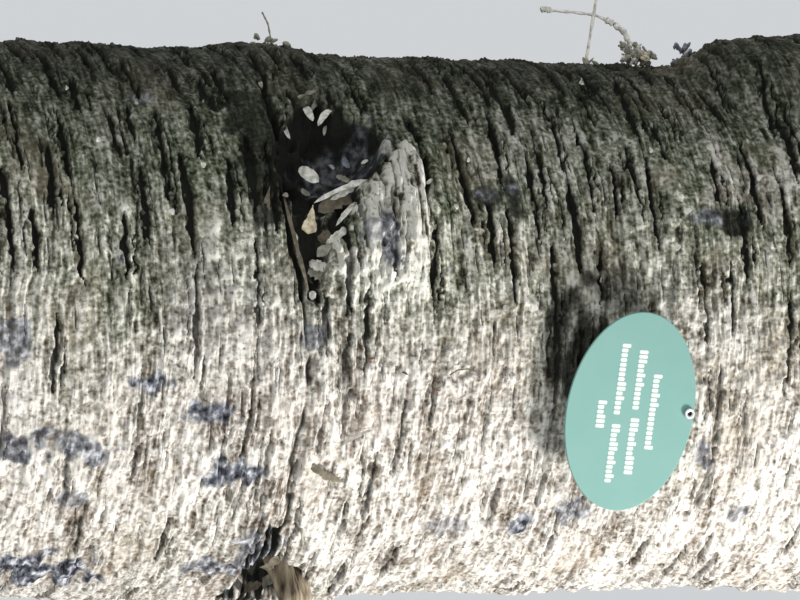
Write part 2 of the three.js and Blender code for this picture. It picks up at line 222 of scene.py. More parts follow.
# Noise on the bark: way round and way up of one cell and half the height of its ripple in metres, the seed,
# and how far the rows of cells follow the bend of the rings, which is the sum of swing and wave. A layer
# without a ripple only shades the bark or breaks up an edge
LAYERS = {label: Values(around=around, up=up, rise=rise, seed=seed, follow=follow)
          for label, around, up, rise, seed, follow in (
              ("swing", 0.070, 0.045, 0.0040, 1, 0.0), ("wave", 0.020, 0.020, 0.0012, 2, 0.0),
              ("clouds", 0.060, 0.040, 0.0, 3, 0.0), ("broad", 0.090, 0.060, 0.0020, 4, 0.0),
              ("ribs", 0.060, 0.0130, 0.0014, 9, 1.0), ("ridges", 0.038, 0.0065, 0.0011, 5, 1.0),
              ("fibres", 0.016, 0.0034, 0.0008, 6, 1.0), ("threads", 0.0085, 0.0022, 0.0004, 7, 1.0),
              ("crumbs", 0.0052, 0.0052, 0.0017, 8, 0.5), ("grit", 0.0034, 0.0029, 0.0005, 10, 0.0),
              ("soil", 0.045, 0.013, 0.0, 25, 1.0), ("flakes", 0.0085, 0.0070, 0.0, 21, 0.0),
              ("lumps", 0.017, 0.013, 0.0, 22, 0.0), ("shreds", 0.056, 0.0046, 0.0, 23, 0.4),
              ("streaks", 0.034, 0.0028, 0.0, 24, 0.6))}
# Splits along the rings: their cell, least and most half length and half width in metres, and their seed.
# Beside each runs a thinner one, placed and sized in parts of the split's own half width and half length
SLITS = Values(cell=(0.078, 0.0146), long=(0.019, 0.039), wide=(0.0018, 0.0036), seed=11)
CRACKS = Values(cell=(0.034, 0.0084), long=(0.007, 0.015), wide=(0.0007, 0.0013), seed=41)
COMPANION = Values(off=2.2, along=0.25, long=0.6, wide=0.45)
CRACK_SHARE = 0.62
CRACK_DEPTH = 0.0024
RIM_RISE = 0.0010
RAGGED = 0.0012
# The middle of a split is scattered over this share of its cell, and its slope over this range
JITTER = 0.5
SLOPE = 0.10
GIRTH = 2 * math.pi * BARK_RADIUS
SUNNY_BEARING = 75
# The bark is less weathered, and darker, above and below these heights, fully so after the span in metres
ALOFT = Values(height=2.2, span=1.2)
BELOW = Values(height=1.66, span=1.3)
# Painted shade on the side turned from the key lamp: it starts that many degrees from the front towards -X,
# and is full after the span
SHADED_SIDE = Values(bearing=14, span=58)
# Crusts of lichen: cells round the trunk, their height in metres, and the crusts' size and share of the cells
CRUSTS = Values(columns=12, up=0.094, squeeze=1.6, least=0.10, spread=0.28, share=0.26)

# Cuts and raised plates of the whorl: sizes in metres and the bearing in degrees
GROOVE = Values(width=0.0085, depth=0.009)
SEAM_CUT = Values(width=0.0075, depth=0.0032)
LIP_PLATE = Values(rise=0.0050, edge=0.007, bearing=2, fade=-0.068)
WEDGE_DEPTH = 0.013
HOLLOW_ROUND = 0.012
FOLDS = Values(pitch=0.0068, sink=0.0015, furrow=0.0060)

# Rows and columns of the trunk's pieces, where None stands for the fine grid, and how far the places of the
# picture reach up and to either side
FRONT_BEARING = 92
FRONT_COLUMNS = 320
REAR_COLUMNS = 50
FINE_ROW = 0.0009
PLACED_STRETCH = (1.60, 2.30)
PLACED_HALF = 0.33
TRUNK_PIECES = [Values(name=name, low=low, high=high, rows=rows, columns=columns)
                for name, low, high, rows, columns in (
                    ("bark_foot", 0.0, 1.60, 320, 200), ("bark_low", 1.60, 1.83, None, None),
                    ("bark_middle", 1.83, 2.06, None, None), ("bark_high", 2.06, 2.29, None, None),
                    ("bark_upper", 2.29, 6.50, 420, 110), ("bark_top", 6.50, 11.45, 330, 64))]


def linear(code):
    """An sRGB hex colour as linear red, green, blue: c/12.92 when dark, else ((c + 0.055) / 1.055) to 2.4."""
    parts = [int(code[place:place + 2], 16) / 255 for place in (1, 3, 5)]
    return tuple(part / 12.92 if part <= 0.04045 else ((part + 0.055) / 1.055) ** 2.4 for part in parts)


def paint(code):
    """An sRGB hex colour as a shader's inputs take it: linear, with alpha 1."""
    return opaque(linear(code))


def shaded(code, share):
    """An sRGB hex colour with each part times a share."""
    return "#" + "".join(f"{round(int(code[place:place + 2], 16) * share):02x}" for place in (1, 3, 5))


def opaque(colour):
    """A linear colour with alpha 1."""
    return (*colour[:3], 1.0)


class BarkSettings(PropertyGroup):
    """Relief and colours of the trunk's bark."""

    ripple: FloatProperty(
        name="Ripple", description="Times the height of ridges and fibres", default=1.0, min=0)
    slit_depth: FloatProperty(
        name="Slit depth", description="Depth of the dark slits", default=0.0055, min=0, unit="LENGTH")
    slit_share: FloatProperty(
        name="Slit share", description="Share of the places that hold a slit", default=0.85,
        min=0, max=1, subtype="FACTOR")
    cream: FloatVectorProperty(
        name="Cream", description="Weathered cork flakes", subtype="COLOR", default=linear("#c3beb7"))
    fibre: FloatVectorProperty(
        name="Fibre", description="Grey-brown cross fibres", subtype="COLOR", default=linear("#8a907e"))
    shade: FloatVectorProperty(
        name="Shade", description="Olive film in the shade", subtype="COLOR", default=linear("#5c6450"))
    # The slit colour is painted shade in slits, sockets and the hollow
    slit: FloatVectorProperty(
        name="Slit", description="Inside of slits and sockets", subtype="COLOR", default=linear("#292925"))
    lichen: FloatVectorProperty(
        name="Lichen", description="Blue-grey crust lichen", subtype="COLOR", default=linear("#73767f"))


class LabelSettings(PropertyGroup):
    """Size and colours of the oval label."""

    length: FloatProperty(
        name="Length", description="Long way of the oval", default=0.131, min=0, unit="LENGTH")
    width: FloatProperty(
        name="Width", description="Short way of the oval", default=0.088, min=0, unit="LENGTH")
    thickness: FloatProperty(
        name="Thickness", description="Thickness of the plate", default=0.002, min=0, unit="LENGTH")
    green: FloatVectorProperty(
        name="Green", description="Face of the laminate", subtype="COLOR", default=linear("#7baaa3"))
    core: FloatVectorProperty(
        name="Core", description="White core of the laminate", subtype="COLOR", default=linear("#e6efe9"))


class CrownSettings(PropertyGroup):
    """Size, number and colours of the crown's leaves."""

    leaf_length: FloatProperty(
        name="Leaf length", description="Length of one leaf", default=0.062, min=0, unit="LENGTH")
    leaf_width: FloatProperty(
        name="Leaf width", description="Width of one leaf", default=0.034, min=0, unit="LENGTH")
    leaf_lean: FloatProperty(
        name="Leaf lean", description="Angle between leaf and shoot", default=math.radians(44),
        unit="ROTATION")
    leaves_per_metre: IntProperty(
        name="Leaves per metre", description="Leaves on a metre of shoot", default=240, min=1)
    dark: FloatVectorProperty(
        name="Dark green", description="Old leaves", subtype="COLOR", default=linear("#32502a"))
    fresh: FloatVectorProperty(
        name="Fresh green", description="Leaves at the tips", subtype="COLOR", default=linear("#6d8d41"))


class StageSettings(PropertyGroup):
    """Light and floor."""

    key_power: FloatProperty(
        name="Key power", description="Soft lamp on the label's side", default=5.55, min=0, unit="POWER")
    sun_strength: FloatProperty(name="Sun", description="Soft light on the crown", default=1.1, min=0)
    fill_strength: FloatProperty(name="Fill", description="Soft light from the front", default=0.70, min=0)
    sky_strength: FloatProperty(name="Sky", description="Light from all round", default=0.735, min=0)
    floor: FloatVectorProperty(
        name="Floor", description="Pale floor", subtype="COLOR", default=linear("#d8d8d4"))


def smooth(value):
    """0 below 0, 1 above 1, and 3t^2 - 2t^3 between."""
    share = np.clip(value, 0, 1)
    return share * share * (3 - 2 * share)


def chance(seed):
    """The source's number from 0 to 1: the fraction of sin(12.9898 seed + 78.233) x 43758.5453."""
    wave = np.sin(seed * 12.9898 + 78.233) * 43758.5453
    return wave - np.floor(wave)


def heading(bearing):
    """The level way of a bearing in degrees from -Y towards +X: (sin b, -cos b, 0)."""
    turn = np.radians(bearing)
    return np.stack([np.sin(turn), -np.cos(turn), np.zeros_like(turn)], axis=-1)


def unit(vectors):
    """Vectors divided by their length."""
    return vectors / np.linalg.norm(vectors, axis=-1, keepdims=True)


def cell_number(column, row, seed):
    """A fixed number from 0 to 1 for each cell.

    Its column, row and seed times odd numbers are added, and the sum is shifted onto itself and multiplied
    again in 32 bits, so that near cells get numbers far apart.
    """
    mask = 0xFFFFFFFF
    key = (column * 374761393 + row * 668265263 + seed * 974634777) & mask
    for shift, factor in ((13, 1274126177), (16, 2246822519)):
        key = ((key ^ (key >> shift)) * factor) & mask
    return (key ^ (key >> 15)) / mask


def ripple(across, up, seed, wrap):
    """Noise from -1 to 1: the numbers of a cell's four corners, blended by smooth().

    The columns repeat after wrap, so that the noise closes round the trunk.
    """
    column = np.floor(across).astype(np.int64)
    row = np.floor(up).astype(np.int64)
    right = smooth(across - column)
    above = smooth(up - row)
    near, far = column % wrap, (column + 1) % wrap
    low = cell_number(near, row, seed) * (1 - right) + cell_number(far, row, seed) * right
    high = cell_number(near, row + 1, seed) * (1 - right) + cell_number(far, row + 1, seed) * right
    return 2 * (low * (1 - above) + high * above) - 1


def make_mesh(name, points, faces, values=None, materials=(), picks=None, flat=False):
    """A new object from points, and faces as a list of whole-number arrays, one array for each face size.

    The values are numbers for the points by their name, and the picks say which material each face has.
    """
    loops = np.concatenate([part.ravel() for part in faces]).astype(np.int32)
    sizes = np.concatenate([np.full(len(part), part.shape[1]) for part in faces]).astype(np.int32)
    mesh = bpy.data.meshes.new(name)
    mesh.vertices.add(len(points))
    mesh.vertices.foreach_set("co", np.asarray(points, np.float32).ravel())
    mesh.loops.add(len(loops))
    mesh.loops.foreach_set("vertex_index", loops)
    mesh.polygons.add(len(sizes))
    mesh.polygons.foreach_set("loop_start", np.concatenate([[0], np.cumsum(sizes)[:-1]]).astype(np.int32))
    mesh.polygons.foreach_set("use_smooth", np.full(len(sizes), not flat))
    for material in materials:
        mesh.materials.append(material)
    if picks is not None:
        mesh.polygons.foreach_set("material_index", np.asarray(picks, np.int32))
    for label, numbers in (values or {}).items():
        attribute = mesh.attributes.new(label, "FLOAT", "POINT")
        attribute.data.foreach_set("value", np.asarray(numbers, np.float32).ravel())
    mesh.update(calc_edges=True)
    piece = bpy.data.objects.new(name, mesh)
    bpy.context.scene.collection.objects.link(piece)
    return piece


def settle(piece, slot, *nodes):
    """The piece rides on the root body and stands for the nodes, which it hides. The slot is not used."""
    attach(piece, "root")
    if nodes:
        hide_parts(*nodes)


def grid_faces(rows, columns):
    """Four-sided faces of a grid that closes round its columns."""
    row, column = np.meshgrid(np.arange(rows - 1), np.arange(columns), indexing="ij")
    after = (column + 1) % columns
    corners = [row * columns + column, row * columns + after,
               (row + 1) * columns + after, (row + 1) * columns + column]
    return np.stack(corners, axis=-1).reshape(-1, 4)


def cap_faces(rows, columns, low_centre, high_centre):
    """Fans of triangles from the two centre points to the first and last row."""
    column = np.arange(columns)
    after = (column + 1) % columns
    last = (rows - 1) * columns
    low = np.stack([np.full(columns, low_centre), after, column], axis=-1)
    high = np.stack([np.full(columns, high_centre), last + column, last + after], axis=-1)
    return np.concatenate([low, high])


def cross_ways(along):
    """Two ways square to a given one and to each other: the first is level, unless the given one is steep."""
    steep = np.abs(along[..., 2:3]) > 0.9
    side = unit(np.cross(np.where(steep, np.array([1.0, 0, 0]), np.array([0, 0, 1.0])), along))
    return side, np.cross(along, side)


def full_turn(count):
    """That many angles evenly round a full turn."""
    return np.linspace(0, 2 * math.pi, count, endpoint=False)


def tubes(paths, radii, sides):
    """Closed tubes: circles of the given radii, square to each path's own way, with a point at each end."""
    count, rings, _ = paths.shape
    side, other = cross_ways(unit(np.gradient(paths, axis=1)))
    turn = full_turn(sides)
    circle = side[:, :, None] * np.cos(turn)[:, None] + other[:, :, None] * np.sin(turn)[:, None]
    reach = radii[..., None] if radii.ndim == 3 else radii[..., None, None]
    rounds = paths[:, :, None] + circle * reach
    ends = paths[:, (0, -1)]
    points = np.concatenate([rounds.reshape(count, -1, 3), ends], axis=1)
    stride = rings * sides + 2
    quads = grid_faces(rings, sides)
    fans = cap_faces(rings, sides, rings * sides, rings * sides + 1)
    first = np.arange(count)[:, None, None] * stride
    return points.reshape(-1, 3), [(quads + first).reshape(-1, 4), (fans + first).reshape(-1, 3)]


def joined(parts):
    """Several (points, faces) made into one, with the face numbers moved on."""
    points = np.concatenate([part[0] for part in parts])
    starts = np.concatenate([[0], np.cumsum([len(part[0]) for part in parts])[:-1]])
    sizes = sorted({group.shape[1] for part in parts for group in part[1]})
    faces = [np.concatenate([group + start for (_, groups), start in zip(parts, starts)
                             for group in groups if group.shape[1] == size]) for size in sizes]
    return points, faces


def taper_radius(height):
    """Radius without flare: from the low radius to the tip's, by 1 - (height / top)^power."""
    share = np.minimum(1, height / TRUNK_TOP)
    return TRUNK_TIP_RADIUS + (TRUNK_LOW_RADIUS - TRUNK_TIP_RADIUS) * (1 - share ** TAPER_POWER)


def trunk_radius(height, angle):
    """The taper, a lobed flare that dies out upwards, and a low swelling at each bare whorl."""
    lobes = 1 + FLARE.lobe * np.cos(FLARE.lobes * angle + FLARE.turn)
    radius = taper_radius(height) + FLARE.out * np.exp(-height / FLARE.height) * lobes
    for whorl in BARE_WHORLS:
        radius = radius + WHORL_SWELL.out * np.exp(-((height - whorl) / WHORL_SWELL.half) ** 2)
    return radius


def sight_way(pixel):
    """The way of a picture point's line of sight: forward, and right and up by pixels over focal length."""
    right = (pixel[0] - PICTURE[0] / 2) / FOCAL_PIXELS
    up = (PICTURE[1] / 2 - pixel[1]) / FOCAL_PIXELS
    return PICTURE_FORWARD + right * PICTURE_RIGHT + up * PICTURE_UP


def sight(pixel, out=0.0):
    """Where the line of sight of a picture point meets the trunk, that far out from its taper.

    The line meets a round column, whose radius is that of the taper at the height found before, five times.
    """
    way = sight_way(pixel)
    height = CAMERA_AIM.z
    level = way[0] ** 2 + way[1] ** 2
    toward = way[0] * CAMERA_PLACE[0] + way[1] * CAMERA_PLACE[1]
    apart = CAMERA_PLACE[0] ** 2 + CAMERA_PLACE[1] ** 2
    for _ in range(5):
        radius = float(taper_radius(height)) + out
        run = (-toward - math.sqrt(max(0, toward ** 2 - level * (apart - radius ** 2)))) / level
        height = CAMERA_PLACE[2] + run * way[2]
    return CAMERA_PLACE + run * way


def on_bark(pixels):
    """Picture points on the unrolled bark: metres round from -Y towards +X, and height."""
    places = np.array([sight(pixel) for pixel in pixels])
    return np.stack([np.arctan2(places[:, 0], -places[:, 1]) * BARK_RADIUS, places[:, 2]], axis=-1)


def edge_distance(across, up, start, end):
    """Distance to a straight edge: to its nearest point start + share (end - start), share from 0 to 1."""
    run, climb = end[0] - start[0], end[1] - start[1]
    share = np.clip(((across - start[0]) * run + (up - start[1]) * climb) / (run ** 2 + climb ** 2), 0, 1)
    return np.hypot(across - start[0] - share * run, up - start[1] - share * climb)


def depth_inside(across, up, outline):
    """How far each point lies inside a closed outline: the distance to the nearest edge, negative outside.

    A point is inside when a level line from it crosses the outline an odd number of times.
    """
    nearest = np.full(across.shape, np.inf)
    inside = np.zeros(across.shape, bool)
    for start, end in zip(outline, np.roll(outline, -1, axis=0)):
        nearest = np.minimum(nearest, edge_distance(across, up, start, end))
        run, climb = end[0] - start[0], end[1] - start[1]
        crossing = start[0] + (up - start[1]) * run / (climb if climb else 1e-9)
        inside ^= ((start[1] > up) != (end[1] > up)) & (across < crossing)
    return np.where(inside, nearest, -nearest)


def nearness(across, up, line, width):
    """1 on a line of points and 0 from half a width away, by smooth()."""
    nearest = np.full(across.shape, np.inf)
    for start, end in zip(line[:-1], line[1:]):
        nearest = np.minimum(nearest, edge_distance(across, up, start, end))
    return smooth(1 - 2 * nearest / width)


def slit_field(turns, height, rule, share, ragged):
    """Blunt slits in staggered cells: 1 along the middle of a slit, 0 on its edge and down to -1 outside.

    With half length a and half width b it is 1 - |z| / (b (1 - (s/a)^4)), s round and z up from the centre.
    A thinner split of the same form runs beside each, above or below it.
    """
    columns = round(GIRTH / rule.cell[0])
    across = turns * columns
    up = height / rule.cell[1]
    edge = np.full(turns.shape, -1.0)
    for row_step in (-1, 0, 1):
        row = np.floor(up).astype(np.int64) + row_step
        shift = 0.5 * (row % 2)
        for column_step in (-1, 0, 1):
            column = np.floor(across - shift).astype(np.int64) + column_step
            numbers = [cell_number(column % columns, row, rule.seed + step) for step in range(6)]
            centre = column + shift + 0.5 + JITTER * (numbers[0] - 0.5)
            long_half = rule.long[0] + (rule.long[1] - rule.long[0]) * numbers[1]
            wide_half = rule.wide[0] + (rule.wide[1] - rule.wide[0]) * numbers[2]
            sideways = (across - centre) * rule.cell[0]
            upwards = (up - row - 0.5 - JITTER * (numbers[3] - 0.5)) * rule.cell[1]
            upwards = upwards + sideways * SLOPE * (numbers[4] - 0.5) + ragged
            room = 1 - (sideways / long_half) ** 4
            inside = 1 - np.abs(upwards) / (wide_half * np.maximum(room, 1e-3))

            hand = np.where(numbers[4] > 0.5, 1.0, -1.0)
            shifted = sideways - COMPANION.along * hand * long_half
            thin_room = 1 - (shifted / (COMPANION.long * long_half)) ** 4
            thin_half = COMPANION.wide * wide_half * np.maximum(thin_room, 1e-3)
            thin = 1 - np.abs(upwards - hand * COMPANION.off * wide_half) / thin_half
            inside = np.maximum(inside, np.where(thin_room > 0, 0.8 * thin - 0.2, -1))
            there = (numbers[5] < share * (1 - 0.6 * weathering_and_light(centre / columns % 1.0))) & (room > 0)
            edge = np.where(there, np.maximum(edge, inside), edge)
    return edge


def weathering_and_light(turns):
    """How crumbly and cream the bark is, from 0 to 1: smooth(0.37 + 0.85 cos b), b from the sunny side. The
    cream is sun-bleached cork and in part painted light, brightest towards the key lamp.
    """
    bearing = turns * 2 * math.pi + math.pi / 2
    return smooth(0.37 + 0.85 * np.cos(bearing - math.radians(SUNNY_BEARING)))


def bark_noise(label, turns, height, bend=0.0):
    """One layer of noise round the trunk, whose rows of cells follow a share of the rings' bend."""
    layer = LAYERS[label]
    wrap = max(3, round(GIRTH / layer.around))
    return ripple(turns * wrap, (height + layer.follow * bend) / layer.up, layer.seed, wrap)


def bark_surface(angle, height, finest, bark):
    """How far the bark stands out from the trunk's round, with the values that its material reads.

    Ripples of several sizes are summed, each left out where the grid is too coarse for it, and the slits and
    cracks are cut. The tone gets brown soil in broad streaks on the weathered side. In the whorl below the
    label the hollow, its wedge, lip, seam and scars are set in, with the spots of the picture.
    """
    turns = (angle / (2 * math.pi)) % 1.0
    across = ((angle + math.pi / 2 + math.pi) % (2 * math.pi) - math.pi) * BARK_RADIUS
    bend = sum(LAYERS[label].rise * bark_noise(label, turns, height) for label in ("swing", "wave"))
    noise = Values(**{label: bark_noise(label, turns, height, bend) for label in LAYERS})

    def kept(width):
        """1 where the grid is fine enough for a form of that width, and 0 where it isn't."""
        return float(smooth((width / finest - 1.2) / 0.8))

    aloft = smooth((height - ALOFT.height) / ALOFT.span)
    below = smooth((BELOW.height - height) / BELOW.span)
    # Weathered cream: sun-bleached cork, and in part painted light on the side that faces the key lamp
    weathered = weathering_and_light(turns) * (1 - 0.85 * aloft) * (1 - 0.6 * below) + 0.25 * noise.clouds
    weathered = np.clip(weathered, 0, 1)
    noise.grit = noise.grit * kept(LAYERS["grit"].up)
    pleats = 1 - 2 * np.abs(noise.fibres)
    rise = LAYERS["broad"].rise * noise.broad
    crumbly = 0.25 + 0.75 * weathered
    for label, share, wave in (("ribs", 1, noise.ribs), ("ridges", 1, noise.ridges), ("fibres", 1, pleats),
                               ("threads", 1, noise.threads), ("crumbs", crumbly, noise.crumbs)):
        rise = rise + bark.ripple * kept(LAYERS[label].up) * LAYERS[label].rise * share * wave
    rise = rise + bark.ripple * LAYERS["grit"].rise * noise.grit

    fine = kept(LAYERS["fibres"].up)
    ragged = RAGGED * fine * (noise.fibres + noise.threads + 1.1 * noise.crumbs + noise.grit)
    edge = slit_field(turns, height, SLITS, bark.slit_share, ragged)
    slits = smooth(2.0 * edge + 0.4 * noise.crumbs + 0.3 * noise.grit) * kept(2 * SLITS.wide[1])
    valley = smooth(1 + edge) * kept(2 * SLITS.wide[1])
    rim = smooth(1 - np.abs(edge + 0.3) / 0.4) * fine
    cracks = slit_field(turns, height, CRACKS, CRACK_SHARE, 0.5 * ragged)
    cracks = smooth(1.6 * cracks) * kept(2 * CRACKS.wide[1])
    open_share = 1 - 0.6 * weathered
    rise = rise - bark.slit_depth * slits * open_share - CRACK_DEPTH * cracks + RIM_RISE * rim
    # Painted shade in the slits and cracks
    cavity = np.maximum(slits * open_share, 0.6 * cracks * (1 - 0.3 * weathered))

    tone = 0.5 + 0.14 * noise.ribs + 0.16 * noise.ridges + 0.18 * pleats + 0.12 * noise.threads
    # Rims and flecks beside the slits are paler: pale torn cork and in part a painted highlight. The valley
    # term lowers the tone round each slit as painted shade
    flecks = smooth(5 * (noise.crumbs - 0.5)) * smooth(0.6 + 2 * noise.grit) * (0.2 + rim)
    tone = tone + 0.2 * noise.crumbs * weathered + 0.2 * rim + 0.9 * flecks - 0.3 * valley * open_share
    soiled = np.maximum(0, noise.soil - 0.1)
    tone = tone + (0.02 - 0.7 * soiled) * weathered

    lichen = scattered_lichen(turns, height, noise.fibres, noise.broad)
    # Painted shade: darker on the side turned from the key lamp. The bark is also darker above and below the
    # stretch of the label
    shade = (-across - math.radians(SHADED_SIDE.bearing) * BARK_RADIUS) / (math.radians(SHADED_SIDE.span) * BARK_RADIUS)
    stain = np.maximum(smooth(shade) * (1 - 0.5 * aloft), 0.62 * aloft + 0.45 * below)
    stain = stain * (0.86 + 0.15 * noise.ribs)
    low, high = PLACED_STRETCH
    placed = (height > low) & (height < high) & (np.abs(across) < PLACED_HALF)
    if fine > 0.5 and placed.any():
        place = Values(across=across[placed], up=height[placed],
                       **{label: numbers[placed] for label, numbers in vars(noise).items()})
        lichen[placed] = spots_cover(place, LICHEN_SPOTS, 0.9)
        rise[placed], cavity[placed], tone[placed], torn = whorl_features(
            place, rise[placed], cavity[placed], tone[placed])
        # Painted light: paler, creamier patches where the lit side reaches further
        pale = spots_cover(place, PAINTED_LIGHT_SPOTS, 0.6)
        weathered[placed] = np.maximum(weathered[placed] * (1 - torn) + 0.55 * torn, pale)
        # Darker patches: painted shadow beside the label, painted shade round the hollow, darker bark
        # elsewhere
        spots = spots_cover(place, STAIN_AND_SHADOW_SPOTS, 0.5) * (1 - 0.8 * torn)
        stain[placed] = np.maximum(stain[placed] * (1 - pale) * (1 - torn), spots)
        lichen[placed] *= 1 - smooth(1.6 * cavity[placed] - 0.6)
        lichen[placed] = np.maximum(lichen[placed], spots_cover(place, HOLLOW_DUST, 0.9))
    return rise, {"cavity": cavity, "tone": tone, "lichen": lichen, "weather": weathered,
                  "stain": stain, "grain": height + bend}


def whorl_features(place, rise, cavity, tone):
    """The whorl's forms set into the bark in turn, from the torn lip to the socket behind.

    Returns the rise, the painted shade in the cut-in forms and the tone with these set in, and how far the
    torn lip covers each point.
    """
    across = place.across + 0.0016 * place.threads + 0.0022 * place.lumps + 0.0016 * place.flakes
    up = place.up + 0.0012 * place.fibres + 0.0020 * place.flakes + 0.0012 * place.crumbs
    rise, cavity, tone, torn = torn_lip(place, across, up, rise, cavity, tone)
    for groove_line in HOLLOW_GROOVES:
        groove = nearness(across, up, on_bark(groove_line), GROOVE.width)
        rise = rise - GROOVE.depth * groove
        # Painted shade in the grooves
        cavity = np.maximum(cavity, groove)
    rise = rise + next_swelling(across, up)
    seam = nearness(across, up, on_bark(SEAM), SEAM_CUT.width)
    seam = seam * smooth(0.95 + 1.1 * place.lumps + 0.4 * place.fibres)
    rise = rise - SEAM_CUT.depth * seam
    # Painted shade in the seam
    cavity = np.maximum(cavity, 0.65 * seam)
    for form in (wedge_form, hollow_form):
        rise, cavity = sink(rise, cavity, *form(place, across, up))
    rise, cavity = folded_scar(place, across, up, rise, cavity)
    for socket in (SCAR, REAR_SOCKET):
        hole, lip = socket_shape(across, up, socket)
        rise = rise + socket.lip * np.sqrt(np.clip(2 * lip - lip ** 2, 0, 1)) * (lip > 0)
        floor = socket.depth * np.sqrt(np.clip(2 * hole - hole ** 2, 0, 1)) + 0.003 * place.ridges
        # Painted shade in the sockets
        rise, cavity = sink(rise, cavity, smooth(hole / 0.12), floor, 0.7 + 0.25 * place.flakes)
    return rise, cavity, tone, torn


def sink(rise, cavity, cover, floor, dark):
    """Blends the covered part from the bark to a floor at that depth, and paints shade into it as dark as is
    said.
    """
    return rise * (1 - cover) - cover * floor, np.maximum(cavity, cover * dark)


def torn_lip(place, across, up, rise, cavity, tone):
    """The swelling 1 - a^2 - b^2 beside the hollow, with a plate of torn pale strands on it.

    The plate is a raised outline that fades out to one side, split where two noises of long cells are near 0.
    """
    aside = across - math.radians(HOLLOW_LIP.bearing) * BARK_RADIUS
    above = up - LABEL_WHORL - HOLLOW_LIP.rise
    swell = np.clip(1 - (aside / HOLLOW_LIP.around) ** 2 - (above / HOLLOW_LIP.along) ** 2, 0, 1)
    rise = rise + 0.7 * HOLLOW_LIP.out * swell
    ragged_across = across + 0.005 * place.flakes + 0.003 * place.crumbs
    plate = depth_inside(ragged_across, up + 0.003 * place.lumps, on_bark(LIP_RIM))
    split = np.abs(place.shreds + 0.25 * place.fibres)
    line = smooth(1 - np.abs(place.streaks + 0.2 * place.crumbs) / 0.30)
    strands = 0.0022 * np.minimum(split, 0.3) / 0.3 + 0.0010 * place.streaks - 0.0014 * line
    strands = strands + 0.0022 * place.crumbs + 0.0016 * place.flakes
    fade = smooth((across - math.radians(LIP_PLATE.bearing) * BARK_RADIUS) / LIP_PLATE.fade)
    rise = rise + smooth(plate / LIP_PLATE.edge) * fade * (LIP_PLATE.rise + strands)
    torn = smooth(plate / 0.005 + 0.5 * place.fibres + 0.6 * place.flakes) * (plate > 0) * fade
    grain = 0.7 * place.streaks + 0.5 * place.threads + 1.1 * place.crumbs + 0.8 * place.flakes - 1.8 * line
    # The torn plate is toned pale: pale torn strands, and in part painted light, since the lamp only grazes
    # the lip
    tone = tone * (1 - torn) + torn * (2.2 + grain)
    # Painted shade in the gaps between the torn strands
    gaps = smooth(9 * (0.06 - split)) * smooth(1.1 + 2 * place.lumps)
    return rise, np.maximum(cavity * (1 - 0.5 * torn), torn * gaps), tone, torn


def next_swelling(across, up):
    """The next whorl's swelling, smooth(1.1 (1 - a^2 - b^2)) of its height, shorter above than below."""
    aside = (across - NEXT_SCAR.across) / NEXT_SCAR.around
    above = up - NEXT_SCAR.height
    above = above / np.where(above > 0, NEXT_SCAR.over, NEXT_SCAR.under)
    return NEXT_SCAR.out * smooth(1.1 * np.clip(1 - aside ** 2 - above ** 2, 0, 1))


def wedge_form(place, across, up):
    """The cover, floor and painted shade of the sunken wedge under the hollow, ridged along the rings."""
    cover = smooth(depth_inside(across, up, on_bark(WEDGE_RIM)) / 0.006)
    floor = WEDGE_DEPTH + 0.003 * place.ridges + 0.0018 * place.fibres
    return cover, floor, 0.62 - 0.3 * place.ridges - 0.25 * place.fibres


def hollow_form(place, across, up):
    """The cover, floor and painted shade of the hollow, whose floor falls by 1 - e^(-d/r), d in from its rim.
    """
    hollow = depth_inside(across, up, on_bark(HOLLOW_RIM))
    floor = HOLLOW_DEPTH * (1 - np.exp(-np.maximum(hollow, 0) / HOLLOW_ROUND)) + 0.003
    floor = floor + 0.004 * place.ridges + 0.0035 * place.flakes
    return smooth(hollow / 0.004), floor, 1.0 + 0.2 * place.crumbs - 0.12 * smooth(2 * place.lumps)


def folded_scar(place, across, up, rise, cavity):
    """Furrows 0.5 + 0.5 cos(2 pi s / pitch) in the folded scar, s square to the way of the folds."""
    folded = smooth(depth_inside(across, up, on_bark(SCAR_FOLDS)) / 0.004)
    start, end = on_bark(FOLD_WAY)
    run, climb = end - start
    square = ((across - start[0]) * climb - (up - start[1]) * run) / math.hypot(run, climb)
    furrow = 0.5 + 0.5 * np.cos(2 * math.pi * square / FOLDS.pitch + 1.6 * place.lumps)
    rise = rise - folded * (FOLDS.sink + FOLDS.furrow * furrow ** 2)
    # Painted shade in the folded scar, deepest in the furrows
    return rise, np.maximum(cavity, folded * (0.35 + 0.8 * furrow + 0.3 * place.flakes))


def socket_shape(across, up, socket):
    """How deep inside an oval socket a point lies, and inside its lip: 1 in the middle and 0 at the edge."""
    aside = across - math.radians(socket.bearing) * BARK_RADIUS
    aside = (aside + GIRTH / 2) % GIRTH - GIRTH / 2
    above = up - LABEL_WHORL - socket.rise
    hole = 1 - np.hypot(aside / socket.around, above / socket.along)
    lip = 1 - np.hypot((aside - SOCKET_LIP.aside) / SOCKET_LIP.around,
                       (above - SOCKET_LIP.above) / SOCKET_LIP.along)
    return hole, lip


def scattered_lichen(turns, height, fibres, broad):
    """Small round crusts in about a quarter of 90 mm cells, ragged by the fibres: 1 - distance / size."""
    across = turns * CRUSTS.columns
    up = height / CRUSTS.up
    patch = np.zeros(turns.shape)
    for row_step in (-1, 0, 1):
        for column_step in (-1, 0, 1):
            column = np.floor(across).astype(np.int64) + column_step
            row = np.floor(up).astype(np.int64) + row_step
            numbers = [cell_number(column % CRUSTS.columns, row, seed) for seed in range(31, 35)]
            far = np.hypot(across - column - numbers[0], (up - row - numbers[1]) * CRUSTS.squeeze)
            size = CRUSTS.least + CRUSTS.spread * numbers[2]
            patch = np.maximum(patch, np.where(numbers[3] < CRUSTS.share, 1 - far / size, 0))
    return smooth(2.2 * patch + 0.7 * fibres * (patch > 0) + 0.4 * broad * (patch > 0))


